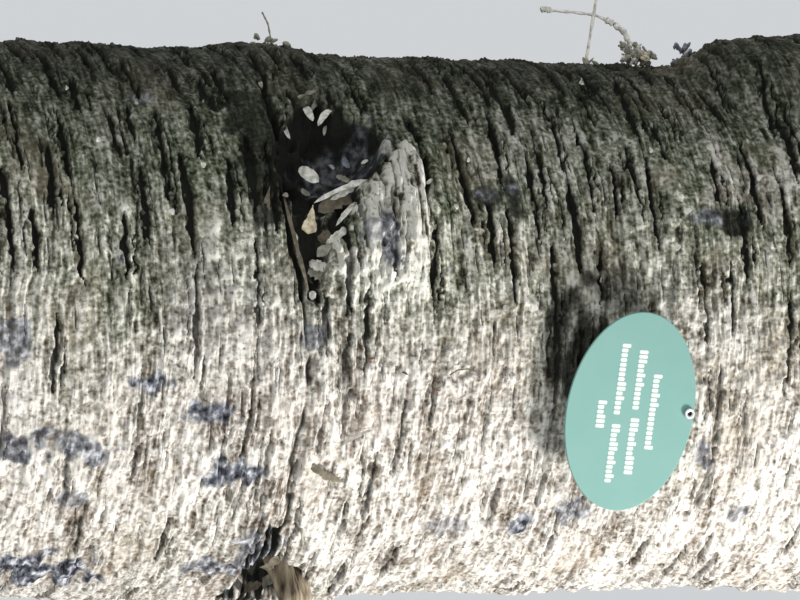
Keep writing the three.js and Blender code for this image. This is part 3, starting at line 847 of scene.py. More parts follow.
def spots_cover(place, spots, breaking):
    """How far oval spots of the picture cover the bark, their edges broken by flakes: smooth(2 d + 0.2).

    The number d is 1 in the middle of an oval and 0 on its edge.
    """
    rough = 1.4 * place.lumps + 1.3 * place.flakes + 0.3 * place.fibres + 0.5 * place.crumbs
    cover = np.zeros(place.across.shape)
    lowest = PICTURE[1] - 3  # below it a line of sight can miss the trunk
    for pixel, size, strength in spots:
        centre = on_bark([pixel])[0]
        corner = on_bark([(pixel[0] + size[0], pixel[1]), (pixel[0], min(lowest, pixel[1] + size[1]))])
        tall = abs(corner[0][1] - centre[1])
        wide = max(0.004, abs(corner[1][0] - centre[0]))
        inside = 1 - np.hypot((place.across - centre[0]) / wide, (place.up - centre[1]) / tall)
        broken = 2.0 * inside + breaking * rough + 0.2
        cover = np.maximum(cover, strength * smooth(broken) * smooth(3 * inside + 1.2))
    return cover


def trunk_columns():
    """Angles round the trunk: closest together in the middle of the front, and evenly spread behind.

    In front the angle is half (0.72 t + 0.28 t^3), with t from -1 to 1.
    """
    half = math.radians(FRONT_BEARING)
    share = np.linspace(-1, 1, FRONT_COLUMNS, endpoint=False)
    front = half * (0.72 * share + 0.28 * share ** 3)
    rear = np.linspace(half, 2 * math.pi - half, REAR_COLUMNS, endpoint=False)
    return np.concatenate([front, rear]) - math.pi / 2


def bark_piece(part, bark, material):
    """One closed stretch of trunk: at angle a and height z the point (r cos a, r sin a, z), and flat ends."""
    if part.columns:
        angles = np.linspace(-math.pi, math.pi, part.columns, endpoint=False)
        heights = np.linspace(part.low, part.high, part.rows + 1)
    else:
        angles = trunk_columns()
        heights = np.linspace(part.low, part.high, round((part.high - part.low) / FINE_ROW) + 1)
    height, angle = np.meshgrid(heights, angles, indexing="ij")
    rise, values = bark_surface(angle, height, heights[1] - heights[0], bark)
    radius = trunk_radius(height, angle) + rise
    rounds = np.stack([radius * np.cos(angle), radius * np.sin(angle), height], axis=-1).reshape(-1, 3)
    points = np.concatenate([rounds, [[0, 0, part.low], [0, 0, part.high]]])
    values = {label: np.concatenate([numbers.ravel(), [0.5, 0.5]]) for label, numbers in values.items()}
    rows, columns = len(heights), len(angles)
    faces = [grid_faces(rows, columns), cap_faces(rows, columns, rows * columns, rows * columns + 1)]
    piece = make_mesh(part.name, points, faces, values, [material])
    settle(piece, "trunk_bark", "trunk")


def add_node(tree, kind, inputs=None, stops=None, **settings):
    """Adds a node with its settings.

    Inputs give a value, or another node's output, for a socket's name or number, and stops are the places and
    colours of a colour ramp, whose first two entries are its ends.
    """
    node = tree.nodes.new(kind)
    for label, value in settings.items():
        setattr(node, label, value)
    for place, (position, colour) in enumerate(stops or []):
        elements = node.color_ramp.elements
        element = elements[place] if place < 2 else elements.new(position)
        element.position = position
        element.color = colour
    for key, value in (inputs or {}).items():
        if isinstance(value, bpy.types.NodeSocket):
            tree.links.new(value, node.inputs[key])
        else:
            node.inputs[key].default_value = value
    return node


def new_material(name, roughness, specular=0.5):
    """A material with its node tree and its one surface shader."""
    material = bpy.data.materials.new(name)
    material.use_nodes = True
    tree = material.node_tree
    shader = tree.nodes["Principled BSDF"]
    shader.inputs["Roughness"].default_value = roughness
    shader.inputs["Specular IOR Level"].default_value = specular
    return material, tree, shader


def bark_material(bark):
    """Old bark, grown in thin cork sheets that split across: dry, matt and grey to cream, with painted shade
    in the slits.

    A level is the weighted sum of the noises and readings. It picks a tone on the ramp of the shaded film and
    on the ramp of the bare cork, and the weathered share blends the two; that cream is partly painted light
    on the lamp's side. Warm clouds, pits, darker patches of painted shade and real stains, painted shade in
    the slits and hollows, and lichen are laid over them in turn.
    """
    material, tree, shader = new_material("bark, weathered cork", 0.94, 0.15)
    place = add_node(tree, "ShaderNodeTexCoord").outputs["Object"]
    readings = {label: add_node(tree, "ShaderNodeAttribute", attribute_name=label).outputs["Fac"]
                for label in ("weather", "cavity", "tone", "lichen", "stain", "grain")}
    parts = add_node(tree, "ShaderNodeSeparateXYZ", {0: place})
    bent_place = add_node(tree, "ShaderNodeCombineXYZ", {0: parts.outputs[0], 1: parts.outputs[1],
                                                         2: readings["grain"]}).outputs[0]

    # Cells to a metre: strands 20 mm long and 3 mm high that follow the bent rings, bands 38 mm and 9 mm,
    # flakes 5 mm, grains 3 mm and clouds 56 mm across, and crust grains of lichen 7 mm and 5 mm
    patterns = {}
    for label, at, cells, detail in (
            ("strands", bent_place, (50, 50, 360), 1.5), ("bands", bent_place, (26, 26, 115), 2.0),
            ("flakes", bent_place, (195, 195, 185), 1.5), ("grains", place, (380, 380, 380), 1.5),
            ("clouds", place, (18, 18, 18), 3.0), ("crust", bent_place, (150, 150, 200), 3.0)):
        scaled = add_node(tree, "ShaderNodeMapping", {0: at, 3: cells}).outputs[0]
        patterns[label] = add_node(tree, "ShaderNodeTexNoise",
                                   {0: scaled, "Scale": 1.0, "Detail": detail}).outputs["Fac"]

    level = -2.02
    for reading, weight in ((readings["weather"], 0.34), (patterns["strands"], 1.5), (patterns["bands"], 0.4),
                            (patterns["flakes"], 1.1), (patterns["grains"], 1.3), (readings["tone"], 0.6)):
        level = add_node(tree, "ShaderNodeMath", {0: reading, 1: weight, 2: level},
                         operation="MULTIPLY_ADD").outputs[0]
    film = add_node(tree, "ShaderNodeValToRGB", {0: level}, stops=[
        (0.02, paint("#24261c")), (0.98, paint("#e6e6dc")),
        (0.30, opaque(bark.shade)), (0.55, opaque(bark.fibre)),
        (0.78, paint("#b9baa9"))]).outputs[0]
    cork = add_node(tree, "ShaderNodeValToRGB", {0: level}, stops=[
        (0.02, paint("#463c33")), (0.98, paint("#e3dfd9")),
        (0.30, paint("#847a6f")), (0.52, paint("#a19b94")),
        (0.74, opaque(bark.cream))]).outputs[0]
    crust = add_node(tree, "ShaderNodeValToRGB", {0: patterns["crust"]}, stops=[
        (0.38, paint("#2b2c34")), (0.66, paint("#c8cad0")),
        (0.52, opaque(bark.lichen))]).outputs[0]

    warm = add_node(tree, "ShaderNodeMapRange", {0: patterns["clouds"], 1: 0.5, 2: 0.7, 3: 0.0, 4: 0.35})
    pits = add_node(tree, "ShaderNodeMapRange", {0: patterns["grains"], 1: 0.37, 2: 0.27, 3: 0.0, 4: 0.55})
    # Darkening towards near black: painted shade on the side turned from the lamp, painted shadow beside the
    # label, painted shade round the hollow, and darker patches elsewhere
    stain_and_shade_mix = add_node(tree, "ShaderNodeMath", {0: readings["stain"], 1: 0.9}, operation="MULTIPLY")
    # Painted shade: slits, cracks, grooves, seam, sockets, folds, the hollow and its wedge darken towards the
    # slit colour
    deep = add_node(tree, "ShaderNodeMapRange", {0: readings["cavity"], 1: 0.1, 2: 0.7},
                    interpolation_type="SMOOTHSTEP")
    # The cream cork of the weathered side is in part painted light on the lamp's side
    base = film
    for share, colour in (
            (readings["weather"], cork), (warm.outputs[0], paint("#ab9b86")),
            (pits.outputs[0], paint("#554a3c")), (stain_and_shade_mix.outputs[0], paint("#1b1c16")),
            (deep.outputs[0], opaque(bark.slit)), (readings["lichen"], crust)):
        base = add_node(tree, "ShaderNodeMix", {0: share, 6: base, 7: colour}, data_type="RGBA").outputs[2]
    bump = add_node(tree, "ShaderNodeBump",
                    {"Height": patterns["strands"], "Strength": 0.9, "Distance": 0.0018})
    bump = add_node(tree, "ShaderNodeBump",
                    {"Height": patterns["flakes"], "Strength": 0.9, "Distance": 0.0022,
                     "Normal": bump.outputs[0]})
    tree.links.new(base, shader.inputs["Base Color"])
    tree.links.new(bump.outputs[0], shader.inputs["Normal"])
    return material


def wood_material(name, dark, light, cells, roughness):
    """Dead wood or limb bark, weathered and dry: two tones and a bump in one noise, so the bump's hollows
    take the darker tone as painted shade.

    The cells are given as their number to a metre along x, y and z.
    """
    material, tree, shader = new_material(name, roughness, 0.3)
    place = add_node(tree, "ShaderNodeTexCoord").outputs["Object"]
    scaled = add_node(tree, "ShaderNodeMapping", {0: place, 3: cells}).outputs[0]
    grain = add_node(tree, "ShaderNodeTexNoise", {0: scaled, "Scale": 1.0, "Detail": 5.0}).outputs["Fac"]
    tones = add_node(tree, "ShaderNodeValToRGB", {0: grain}, stops=[
        (0.34, paint(dark)), (0.66, paint(light))])
    bump = add_node(tree, "ShaderNodeBump", {"Height": grain, "Strength": 0.8, "Distance": 0.001})
    tree.links.new(tones.outputs[0], shader.inputs["Base Color"])
    tree.links.new(bump.outputs[0], shader.inputs["Normal"])
    return material


def leaf_material(name, colour):
    """A stiff leathery leaf: one plain colour, with a waxy gloss that a grain of 17 mm breaks up.

    The real grain is finer and wouldn't show at the size of the crown.
    """
    material, tree, shader = new_material(name, 0.42, 0.45)
    place = add_node(tree, "ShaderNodeTexCoord").outputs["Object"]
    grain = add_node(tree, "ShaderNodeTexNoise", {0: place, "Scale": 60.0, "Detail": 2.0}).outputs["Fac"]
    gloss = add_node(tree, "ShaderNodeMapRange", {0: grain, 3: 0.34, 4: 0.6}).outputs[0]
    shader.inputs["Base Color"].default_value = opaque(colour)
    tree.links.new(gloss, shader.inputs["Roughness"])
    return material


def plastic_material(name, colour, roughness, worn):
    """Engraving laminate, pressed acrylic sheet with a matt face: even colour, worn in stains.

    The stains are 22 mm across and fade the colour by up to 0.35. The grit is drawn 1.1 mm across, coarser
    than the real one, so that it shows.
    """
    material, tree, shader = new_material(name, roughness, 0.45)
    place = add_node(tree, "ShaderNodeTexCoord").outputs["Object"]
    stains = add_node(tree, "ShaderNodeTexNoise", {0: place, "Scale": 45.0, "Detail": 5.0}).outputs["Fac"]
    faded = add_node(tree, "ShaderNodeMapRange", {0: stains, 1: 0.35, 2: 0.75, 3: 0.0, 4: 0.35}).outputs[0]
    base = add_node(tree, "ShaderNodeMix", {0: faded, 6: opaque(colour), 7: paint(worn)},
                    data_type="RGBA").outputs[2]
    grit = add_node(tree, "ShaderNodeTexNoise", {0: place, "Scale": 900.0, "Detail": 2.0}).outputs["Fac"]
    bump = add_node(tree, "ShaderNodeBump", {"Height": grit, "Strength": 0.15, "Distance": 0.0002})
    tree.links.new(base, shader.inputs["Base Color"])
    tree.links.new(bump.outputs[0], shader.inputs["Normal"])
    return material


def steel_material():
    """Zinc-plated screw steel, turned and dipped: bright, with a gloss that pits of 0.6 mm break up."""
    material, tree, shader = new_material("steel, zinc-plated", 0.4, 0.5)
    place = add_node(tree, "ShaderNodeTexCoord").outputs["Object"]
    pits = add_node(tree, "ShaderNodeTexNoise", {0: place, "Scale": 1600.0, "Detail": 2.0}).outputs["Fac"]
    rough = add_node(tree, "ShaderNodeMapRange", {0: pits, 3: 0.3, 4: 0.55}).outputs[0]
    shader.inputs["Metallic"].default_value = 0.85
    shader.inputs["Base Color"].default_value = paint("#e4e8e8")
    tree.links.new(rough, shader.inputs["Roughness"])
    return material


def stub_shape():
    """A worn stub: circles along a tilted line, drawn in towards the end, with wrinkles along the wood."""
    rings, sides = 26, 40
    way = heading(np.array(float(STUB.bearing)))
    tilt = math.radians(STUB.tilt)
    axis = way * math.cos(tilt) + np.array([0, 0, math.sin(tilt)])
    surface = way * float(taper_radius(LABEL_WHORL)) + np.array([0, 0, LABEL_WHORL + STUB.rise])
    share = np.linspace(0, 1, rings)
    path = surface + axis * (-STUB.sink + share * (STUB.sink + STUB.out))[:, None]
    body = STUB.radius + (STUB.neck - STUB.radius) * smooth(share / 0.8)
    body = body * np.sqrt(np.clip(1 - smooth((share - 0.86) / 0.16) * 0.75, 0.1, 1))
    turn = full_turn(sides)
    wrinkles = ripple(turn * STUB_WRINKLES.count / (2 * math.pi), np.full(sides, 0.5),
                      STUB_WRINKLES.seed, STUB_WRINKLES.count)
    wobble = ripple(np.tile(turn * STUB_WOBBLE.count / (2 * math.pi), rings),
                    np.repeat(share * STUB_WOBBLE.rows, sides), STUB_WOBBLE.seed, STUB_WOBBLE.count)
    wobble = 1 + STUB_WOBBLE.deep * wobble.reshape(rings, sides)
    radii = body[:, None] * (1 + STUB_WRINKLES.deep * wrinkles) * wobble
    return tubes(path[None], radii[None], sides)


def plate_frame():
    """The plate's centre on its back, its long way, its short way and the way that it faces."""
    facing = heading(np.array(float(PLATE_FACING)))
    level = np.cross([0, 0, 1.0], facing)
    roll = math.radians(-PLATE_ROLL)
    long_way = level * math.cos(roll) + np.array([0, 0, math.sin(roll)])
    short_way = -level * math.sin(roll) + np.array([0, 0, math.cos(roll)])
    centre = heading(np.array(PLATE_BEARING)) * (float(taper_radius(PLATE_HEIGHT)) + PLATE_CLEAR)
    return centre + np.array([0, 0, PLATE_HEIGHT]), long_way, short_way, facing


def from_plate(flat):
    """Points given as long way, short way and height off the back of the plate, in the tree's frame."""
    centre, long_way, short_way, facing = plate_frame()
    return centre + flat[..., :1] * long_way + flat[..., 1:2] * short_way + flat[..., 2:3] * facing


def plate_shape(label):
    """The oval plate: lines run from the round hole to the oval edge, over its rounded rim and back.

    A point is hole + (oval - hole) share, pushed out by an inset, at a height off the back of the plate.
    """
    columns = 420
    turn = full_turn(columns)
    oval = np.stack([np.cos(turn) * label.length / 2, np.sin(turn) * label.width / 2], axis=-1)
    hole_centre = np.array([PLATE_HOLE.aside, label.width / 2 - PLATE_HOLE.inset])
    hole = hole_centre + unit(oval - hole_centre) * PLATE_HOLE.radius
    rim = label.thickness * PLATE_RIM
    profile = [(0.0, 0.0, label.thickness), (0.02, 0.0, label.thickness), (0.5, 0.0, label.thickness)]
    for step in np.linspace(0, math.pi / 2, 5):
        profile.append((1.0, rim * (math.sin(step) - 1), label.thickness - rim * (1 - math.cos(step))))
    profile += [(1.0, 0.0, rim), (1.0, -rim, 0.0), (0.5, 0.0, 0.0), (0.0, 0.0, 0.0)]
    outward = unit(np.stack([oval[:, 0] / label.length ** 2, oval[:, 1] / label.width ** 2], axis=-1))
    rows = [np.concatenate([hole + (oval - hole) * share + outward * inset,
                            np.full((columns, 1), lift)], axis=-1) for share, inset, lift in profile]
    flat = np.stack(rows[::-1])
    quads = grid_faces(len(profile), columns)
    first = np.arange(columns)
    after = (first + 1) % columns
    last = (len(profile) - 1) * columns
    closing = np.stack([last + first, last + after, after, first], axis=-1)
    return from_plate(flat).reshape(-1, 3), [np.concatenate([quads, closing])]


# Plain blocks on the plate, and their rows: middle along the long way, foot up the short way and length
BLOCK = Values(
    pitch=0.0031, gap=0.0006, low=0.0044, high=0.0060, rise=0.00012, sink=0.0006, corner=0.0006, odds=0.68)
ROW_TILT = math.radians(3.4)
ROWS = [(-0.0010, 0.0126, 0.050), (-0.0212, 0.0007, 0.0395), (0.0225, 0.0007, 0.0375),
        (-0.0208, -0.0117, 0.047), (0.0280, -0.0117, 0.039), (0.0030, -0.0230, 0.0185)]


def row_shape(row, label):
    """A row of plain blocks with cut corners, some taller, laid into the plate's face.

    It is turned by the rows' common tilt about the plate's centre.
    """
    across, foot, length = row
    count = round(length / BLOCK.pitch)
    number = np.arange(count)
    centre = across - length / 2 + (number + 0.5) * length / count
    half = (length / count - BLOCK.gap) / 2
    tall = np.where(chance(number * 7.0 + length * 1000) > BLOCK.odds, BLOCK.high, BLOCK.low)
    tall[0] = BLOCK.high
    cut = BLOCK.corner
    corners = np.array([(-1, 0, 1, 0), (1, 0, -1, 0), (1, 0, 0, 1), (1, 1, 0, -1),
                        (1, 1, -1, 0), (-1, 1, 1, 0), (-1, 1, 0, -1), (-1, 0, 0, 1)], float)
    flat_x = centre[:, None] + corners[:, 0] * half + corners[:, 2] * cut
    flat_y = foot + corners[:, 1] * tall[:, None] + corners[:, 3] * cut
    turned_x = flat_x * math.cos(ROW_TILT) - flat_y * math.sin(ROW_TILT)
    turned_y = flat_x * math.sin(ROW_TILT) + flat_y * math.cos(ROW_TILT)
    levels = (label.thickness - BLOCK.sink, label.thickness + BLOCK.rise)
    rings = np.stack([np.stack([turned_x, turned_y, np.full_like(turned_x, lift)], axis=-1)
                      for lift in levels], axis=1)
    ends = rings.mean(axis=2)
    points = np.concatenate([rings.reshape(count, -1, 3), ends], axis=1)
    first = number[:, None, None] * points.shape[1]
    sides = len(corners)
    quads, fans = grid_faces(2, sides), cap_faces(2, sides, 2 * sides, 2 * sides + 1)
    faces = [(quads + first).reshape(-1, 4), (fans + first).reshape(-1, 3)]
    return from_plate(points.reshape(-1, 3)), faces


def screw_shape(label):
    """A sleeve, a shank and a turned pan head with a round recess: a profile carried round an axis.

    Returns points, faces and a mark on each face that lies in the recess.
    """
    sides = 48
    seat = label.thickness + SLEEVE.gap
    top = seat + SCREW.height
    corner = SCREW.rim
    profile = [(SLEEVE.radius, -SLEEVE.sink), (SLEEVE.radius, -SLEEVE.gap), (SCREW.shank, -SLEEVE.gap),
               (SCREW.shank, seat), (SCREW.head, seat)]
    for step in np.linspace(0, math.pi / 2, 6):
        profile.append((SCREW.head - corner * (1 - math.cos(step)), top - corner * (1 - math.sin(step))))
    profile += [(SCREW.recess + 0.0003, top - 0.00005), (SCREW.recess, top - 0.0004),
                (SCREW.recess * 0.9, top - SCREW.recess_depth)]
    turn = full_turn(sides)
    centre = np.array([PLATE_HOLE.aside, label.width / 2 - PLATE_HOLE.inset])
    rows = [np.stack([centre[0] + radius * np.cos(turn), centre[1] + radius * np.sin(turn),
                      np.full(sides, lift)], axis=-1) for radius, lift in profile]
    ends = np.array([[*centre, -SLEEVE.sink], [*centre, top - SCREW.recess_depth]])
    flat = np.concatenate([*rows, ends])
    count = len(profile)
    faces = [grid_faces(count, sides), cap_faces(count, sides, count * sides, count * sides + 1)]
    recess_quads = np.arange(len(faces[0])) >= (count - 2) * sides
    recess_fans = np.arange(len(faces[1])) >= sides
    return from_plate(flat), faces, np.concatenate([recess_quads, recess_fans])


# Dead scales and chips on the bark, most of them caught in the hollow and its wedge: foot and tip as points
# of the picture, width and distance out from the taper in metres, outline, and the number of the colour
SCRAPS = [
    ((295, 105), (319, 95), 0.0115, -0.003, "chip", 1), ((305, 107), (313, 121), 0.0050, -0.002, "oval", 0),
    ((331, 110), (318, 126), 0.0048, -0.002, "oval", 0), ((285, 125), (290, 139), 0.0030, -0.003, "oval", 0),
    ((326, 126), (324, 136), 0.0024, -0.004, "oval", 1), ((299, 168), (319, 182), 0.0082, -0.004, "oval", 0),
    ((301, 189), (310, 195), 0.0034, -0.004, "oval", 1), ((283, 194), (288, 197), 0.0034, 0.000, "oval", 1),
    ((343, 158), (350, 168), 0.0046, -0.010, "oval", 2), ((329, 165), (334, 170), 0.0028, -0.010, "oval", 2),
    ((336, 176), (350, 182), 0.0034, -0.006, "chip", 1), ((361, 164), (368, 160), 0.0022, -0.002, "oval", 0),
    ((370, 180), (314, 203), 0.0044, 0.000, "strip", 0), ((358, 202), (336, 226), 0.0036, 0.001, "strip", 0),
    ((350, 196), (318, 212), 0.0100, -0.005, "chip", 3), ((356, 186), (330, 200), 0.0040, -0.001, "strip", 0),
    ((308, 234), (313, 205), 0.0125, 0.001, "leaf", 4), ((346, 228), (326, 243), 0.0060, -0.001, "strip", 0),
    ((340, 240), (317, 257), 0.0060, -0.002, "chip", 1), ((309, 262), (329, 268), 0.0062, -0.002, "chip", 0),
    ((309, 268), (328, 280), 0.0090, -0.004, "chip", 1), ((313, 291), (312, 300), 0.0046, 0.002, "oval", 0),
    ((309, 292), (284, 198), 0.0026, 0.003, "strip", 3), ((264, 218), (270, 186), 0.0080, 0.002, "leaf", 3),
    ((426, 184), (433, 179), 0.0026, 0.004, "oval", 0), ((391, 268), (404, 254), 0.0070, 0.004, "chip", 0),
    ((318, 240), (330, 232), 0.0060, -0.004, "chip", 3), ((260, 82), (262, 88), 0.0028, 0.003, "oval", 1),
    ((305, 461), (344, 482), 0.0048, 0.004, "strip", 3), ((338, 448), (372, 430), 0.0030, 0.004, "strip", 0),
    ((368, 359), (374, 358), 0.0014, 0.003, "chip", 5), ((402, 372), (408, 375), 0.0014, 0.003, "chip", 5),
    ((432, 388), (441, 391), 0.0014, 0.003, "strip", 5), ((262, 568), (278, 556), 0.0060, 0.001, "chip", 3),
    ((264, 592), (282, 574), 0.0070, 0.001, "chip", 1), ((246, 597), (262, 584), 0.0060, 0.002, "chip", 3),
]
# White flecks of torn cork beside the slits, as points of the picture
FLECKS = [(468, 160), (497, 277), (506, 308), (650, 150), (689, 211), (601, 280), (677, 247), (683, 280),
          (760, 178), (760, 271), (733, 263), (456, 207), (583, 82), (137, 102), (203, 165), (172, 212),
          (242, 229), (203, 235), (133, 290), (285, 307), (182, 373), (186, 375), (66, 88), (98, 140)]
# Fine stems at the trunk's edge and on the bark: points of the picture, then thickness in metres and colour
STEMS = [
    ([(598, -60), (596, 0), (586, 61), (584, 70)], 0.0022, 0),
    ([(544, 10), (572, 12), (595, 15), (610, 22)], 0.0020, 0),
    ([(606, 20), (614, 24), (624, 32), (630, 44)], 0.0042, 0),
    ([(541, 10), (544, 9), (548, 10), (551, 10)], 0.0038, 0),
    ([(450, 375), (458, 370), (468, 369), (477, 372)], 0.0010, 3),
    ([(301, 528), (304, 552), (303, 576), (300, 600)], 0.0022, 1),
    ([(292, 573), (289, 586), (286, 599)], 0.0010, 0),
    ([(262, 12), (268, 24), (272, 46)], 0.0012, 1),
]
# Tufts of dead scales and lichen at the trunk's edge: middle and half size in the picture, number and colour
TUFTS = [((636, 56), (18, 13), 40, 1), ((634, 52), (16, 9), 26, 0), ((640, 58), (14, 10), 12, 4),
         ((686, 62), (10, 20), 48, 2), ((684, 64), (7, 14), 18, 0), ((588, 64), (8, 4), 10, 1),
         ((270, 43), (16, 6), 14, 1)]
SCRAP_COLOURS = ("#fffdf4", "#b3b0a2", "#969cab", "#877e6d", "#fff0cf", "#92694c")
# Outlines of scraps: how soon they reach full width, the power of that, and how ragged the edge is
SCRAP_OUTLINES = {
    "oval": Values(fill=4, power=0.5, rough=0.08),
    "strip": Values(fill=4, power=0.6, rough=0.35),
    "chip": Values(fill=9, power=0.4, rough=0.28),
    "leaf": Values(fill=9, power=0.5, rough=0.12),
}
SCRAP = Values(taper=1.1, least=0.04, lift=0.002, roll=0.5, bow=0.10, curl=0.35, thick=0.0005)
# Stems that start above this row of the picture stand at the trunk's edge, in the plane y = EDGE_PLANE
EDGE_ROW = 60
EDGE_PLANE = -0.006
TUFT_SCALE = Values(half=0.0052, samples=6, sides=6, thin=0.0004, thick=0.0009, bow=0.003)
TUFT_BACK = Values(least=0.002, spread=0.01)


def scrap_shape(scrap, seed):
    """A thin curled scale: flat ovals along the line from its foot to its tip, as wide as its outline says.

    The outline is (n s (1 - s))^p at most 1, with s from foot to tip, and a leaf's is (n s)^p (1 - s)^taper.
    """
    foot_pixel, tip_pixel, width, out, kind, _ = scrap
    foot, tip = sight(foot_pixel, out), sight(tip_pixel, out + SCRAP.lift)
    rows, sides = 13, 12
    share = np.linspace(0, 1, rows)
    outline = SCRAP_OUTLINES[kind]
    if kind == "leaf":
        fullness = np.minimum(1, outline.fill * share) ** outline.power * (1 - share) ** SCRAP.taper
    else:
        fullness = np.minimum(1, outline.fill * share * (1 - share)) ** outline.power
    ragged = 1 + outline.rough * (2 * chance(seed * 17.0 + np.arange(rows)) - 1)
    half = width / 2 * np.maximum(fullness, SCRAP.least) * ragged
    along = unit(tip - foot)
    roll = SCRAP.roll * (2 * chance(seed + 0.5) - 1)
    away = unit(-PICTURE_FORWARD + roll * unit(np.cross(along, PICTURE_FORWARD)))
    side = unit(np.cross(along, away))
    normal = np.cross(side, along)
    turn = full_turn(sides)
    bow = SCRAP.bow * np.linalg.norm(tip - foot) * np.sin(math.pi * share)
    line = foot + (tip - foot) * share[:, None] + normal * bow[:, None]
    rounds = line[:, None] + half[:, None, None] * np.cos(turn)[:, None] * side
    curl = SCRAP.curl * half[:, None] * np.cos(turn) ** 2 + SCRAP.thick / 2 * np.sin(turn)
    rounds = rounds + curl[..., None] * normal
    points = np.concatenate([rounds.reshape(-1, 3), line[:1], line[-1:]])
    return points, [grid_faces(rows, sides), cap_faces(rows, sides, rows * sides, rows * sides + 1)]


def fleck_shapes(bark):
    """Small ovals, two to four millimetres long, on the bark's own surface."""
    places = on_bark(FLECKS)
    angle, height = places[:, 0] / BARK_RADIUS - math.pi / 2, places[:, 1]
    rise = bark_surface(angle, height, FINE_ROW, bark)[0]
    out = trunk_radius(height, angle) + rise - taper_radius(height)
    shapes = []
    for number, pixel in enumerate(FLECKS):
        half = 1.9 + 1.6 * float(chance(number * 3.0))
        turn = math.pi * (0.25 + 0.5 * float(chance(number * 5.0 + 1)))
        step = (half * math.cos(turn), half * math.sin(turn))
        foot = (pixel[0] - step[0], pixel[1] - step[1])
        tip = (pixel[0] + step[0], pixel[1] + step[1])
        fleck = (foot, tip, 0.0012 * half, float(out[number]) + 0.003, "oval", 0)
        shapes.append(scrap_shape(fleck, number + 100))
    return shapes


def beside(pixel, back):
    """The point of a picture point's line of sight where it crosses the upright plane y = back."""
    way = sight_way(pixel)
    return CAMERA_PLACE + way * (back - CAMERA_PLACE[1]) / way[1]


def stem_shape(pixels, thickness, samples=16):
    """A fine stem through picture points: on the bark, or at the trunk's edge where they lie off it."""
    edge = pixels[0][1] < EDGE_ROW
    places = np.array([beside(pixel, EDGE_PLANE) if edge else sight(pixel, 0.004) for pixel in pixels])
    share = np.linspace(0, len(places) - 1, samples)
    path = np.stack([np.interp(share, np.arange(len(places)), places[:, axis]) for axis in range(3)], axis=-1)
    radii = np.full((1, samples), thickness / 2) * (1 + 0.25 * np.sin(np.arange(samples) * 2.1))
    return tubes(path[None], radii, 8)


def tuft_shape(middle, size, count, seed):
    """Short bent scales, thick in the middle, that stand every way from points spread over an oval."""
    paths = []
    for scale in range(count):
        spin, far, lean = (chance(seed * 31.0 + scale * 3 + step) for step in range(3))
        turn = 2 * math.pi * spin
        foot = (middle[0] + size[0] * far * math.cos(turn), middle[1] + size[1] * far * math.sin(turn))
        root = beside(foot, -TUFT_BACK.least - TUFT_BACK.spread * lean)
        way = TUFT_SCALE.half * (math.cos(7 * turn) * PICTURE_RIGHT + math.sin(7 * turn) * PICTURE_UP)
        bend = root + 0.6 * way + TUFT_SCALE.bow * (lean - 0.5) * PICTURE_UP
        tip = root + way + TUFT_SCALE.bow * (spin - 0.5) * PICTURE_RIGHT
        paths.append(bent(root, bend, tip, TUFT_SCALE.samples))
    thick = TUFT_SCALE.thin + TUFT_SCALE.thick * np.sin(np.linspace(0, math.pi, TUFT_SCALE.samples))
    return tubes(np.stack(paths), thick * (0.6 + chance(np.arange(count) + seed))[:, None], TUFT_SCALE.sides)


def bough_plans():
    """The source's plan of each bough: 14 levels of three, with height, reach, bearing and rise by its rule.

    The crown's outline is reach (1 - c^fall)^round, with c from the lowest level to the tree's tip.
    """
    plans = []
    for level in range(LEVELS):
        for index in range(PER_LEVEL):
            seed = level * PER_LEVEL + index
            share = (level / (LEVELS - 1)) ** LEVEL_POWER
            height = CROWN_BASE + (TOP_LEVEL_HEIGHT - CROWN_BASE) * share
            crown = (height - CROWN_BASE) / (TREE_HEIGHT - CROWN_BASE)
            outline = CROWN_REACH * (1 - crown ** OUTLINE.fall) ** OUTLINE.round
            plans.append(Values(
                name=f"{level + 1:02d}_{'abc'[index]}", seed=seed, height=height, crown=crown,
                bare=BARE_SHARE - BARE_STEP * level if level < BARE_LEVELS else 0.0,
                reach=outline * (1 + REACH_JITTER * (2 * chance(seed) - 1)),
                bearing=FIRST_BEARING + 360 / PER_LEVEL * index + LEVEL_TURN * level
                + BEARING_JITTER * (2 * chance(seed + 50) - 1),
                sweep=SWEEP * (2 * chance(seed + 90) - 1),
                rise=RISE.base + RISE.gain * crown ** RISE.power,
                lift=LIFT.base + LIFT.gain * crown))
    return plans


def bough_line(plan, share):
    """Points of a bough: out along its bearing, which sweeps with u^2, and up by rise u + lift u^3."""
    share = np.asarray(share, float)
    points = heading(plan.bearing + plan.sweep * share ** 2) * (share * plan.reach)[..., None]
    points[..., 2] = plan.height + plan.reach * (plan.rise * share + plan.lift * share ** 3)
    return points


def wood_radius(plan, share):
    """Radius of a bough, from its root to its slim end by a power of the way along."""
    root = WOOD.root + WOOD.share * plan.reach
    return root + (WOOD.end - root) * np.minimum(1, share * WOOD.run) ** WOOD.power


def bent(root, middle, tip, samples):
    """Points of a three-point Bezier curve: (1-u)^2 root + 2u(1-u) middle + u^2 tip."""
    share = np.linspace(0, 1, samples)[:, None]
    return ((1 - share) ** 2 * root[..., None, :] + 2 * share * (1 - share) * middle[..., None, :]
            + share ** 2 * tip[..., None, :])


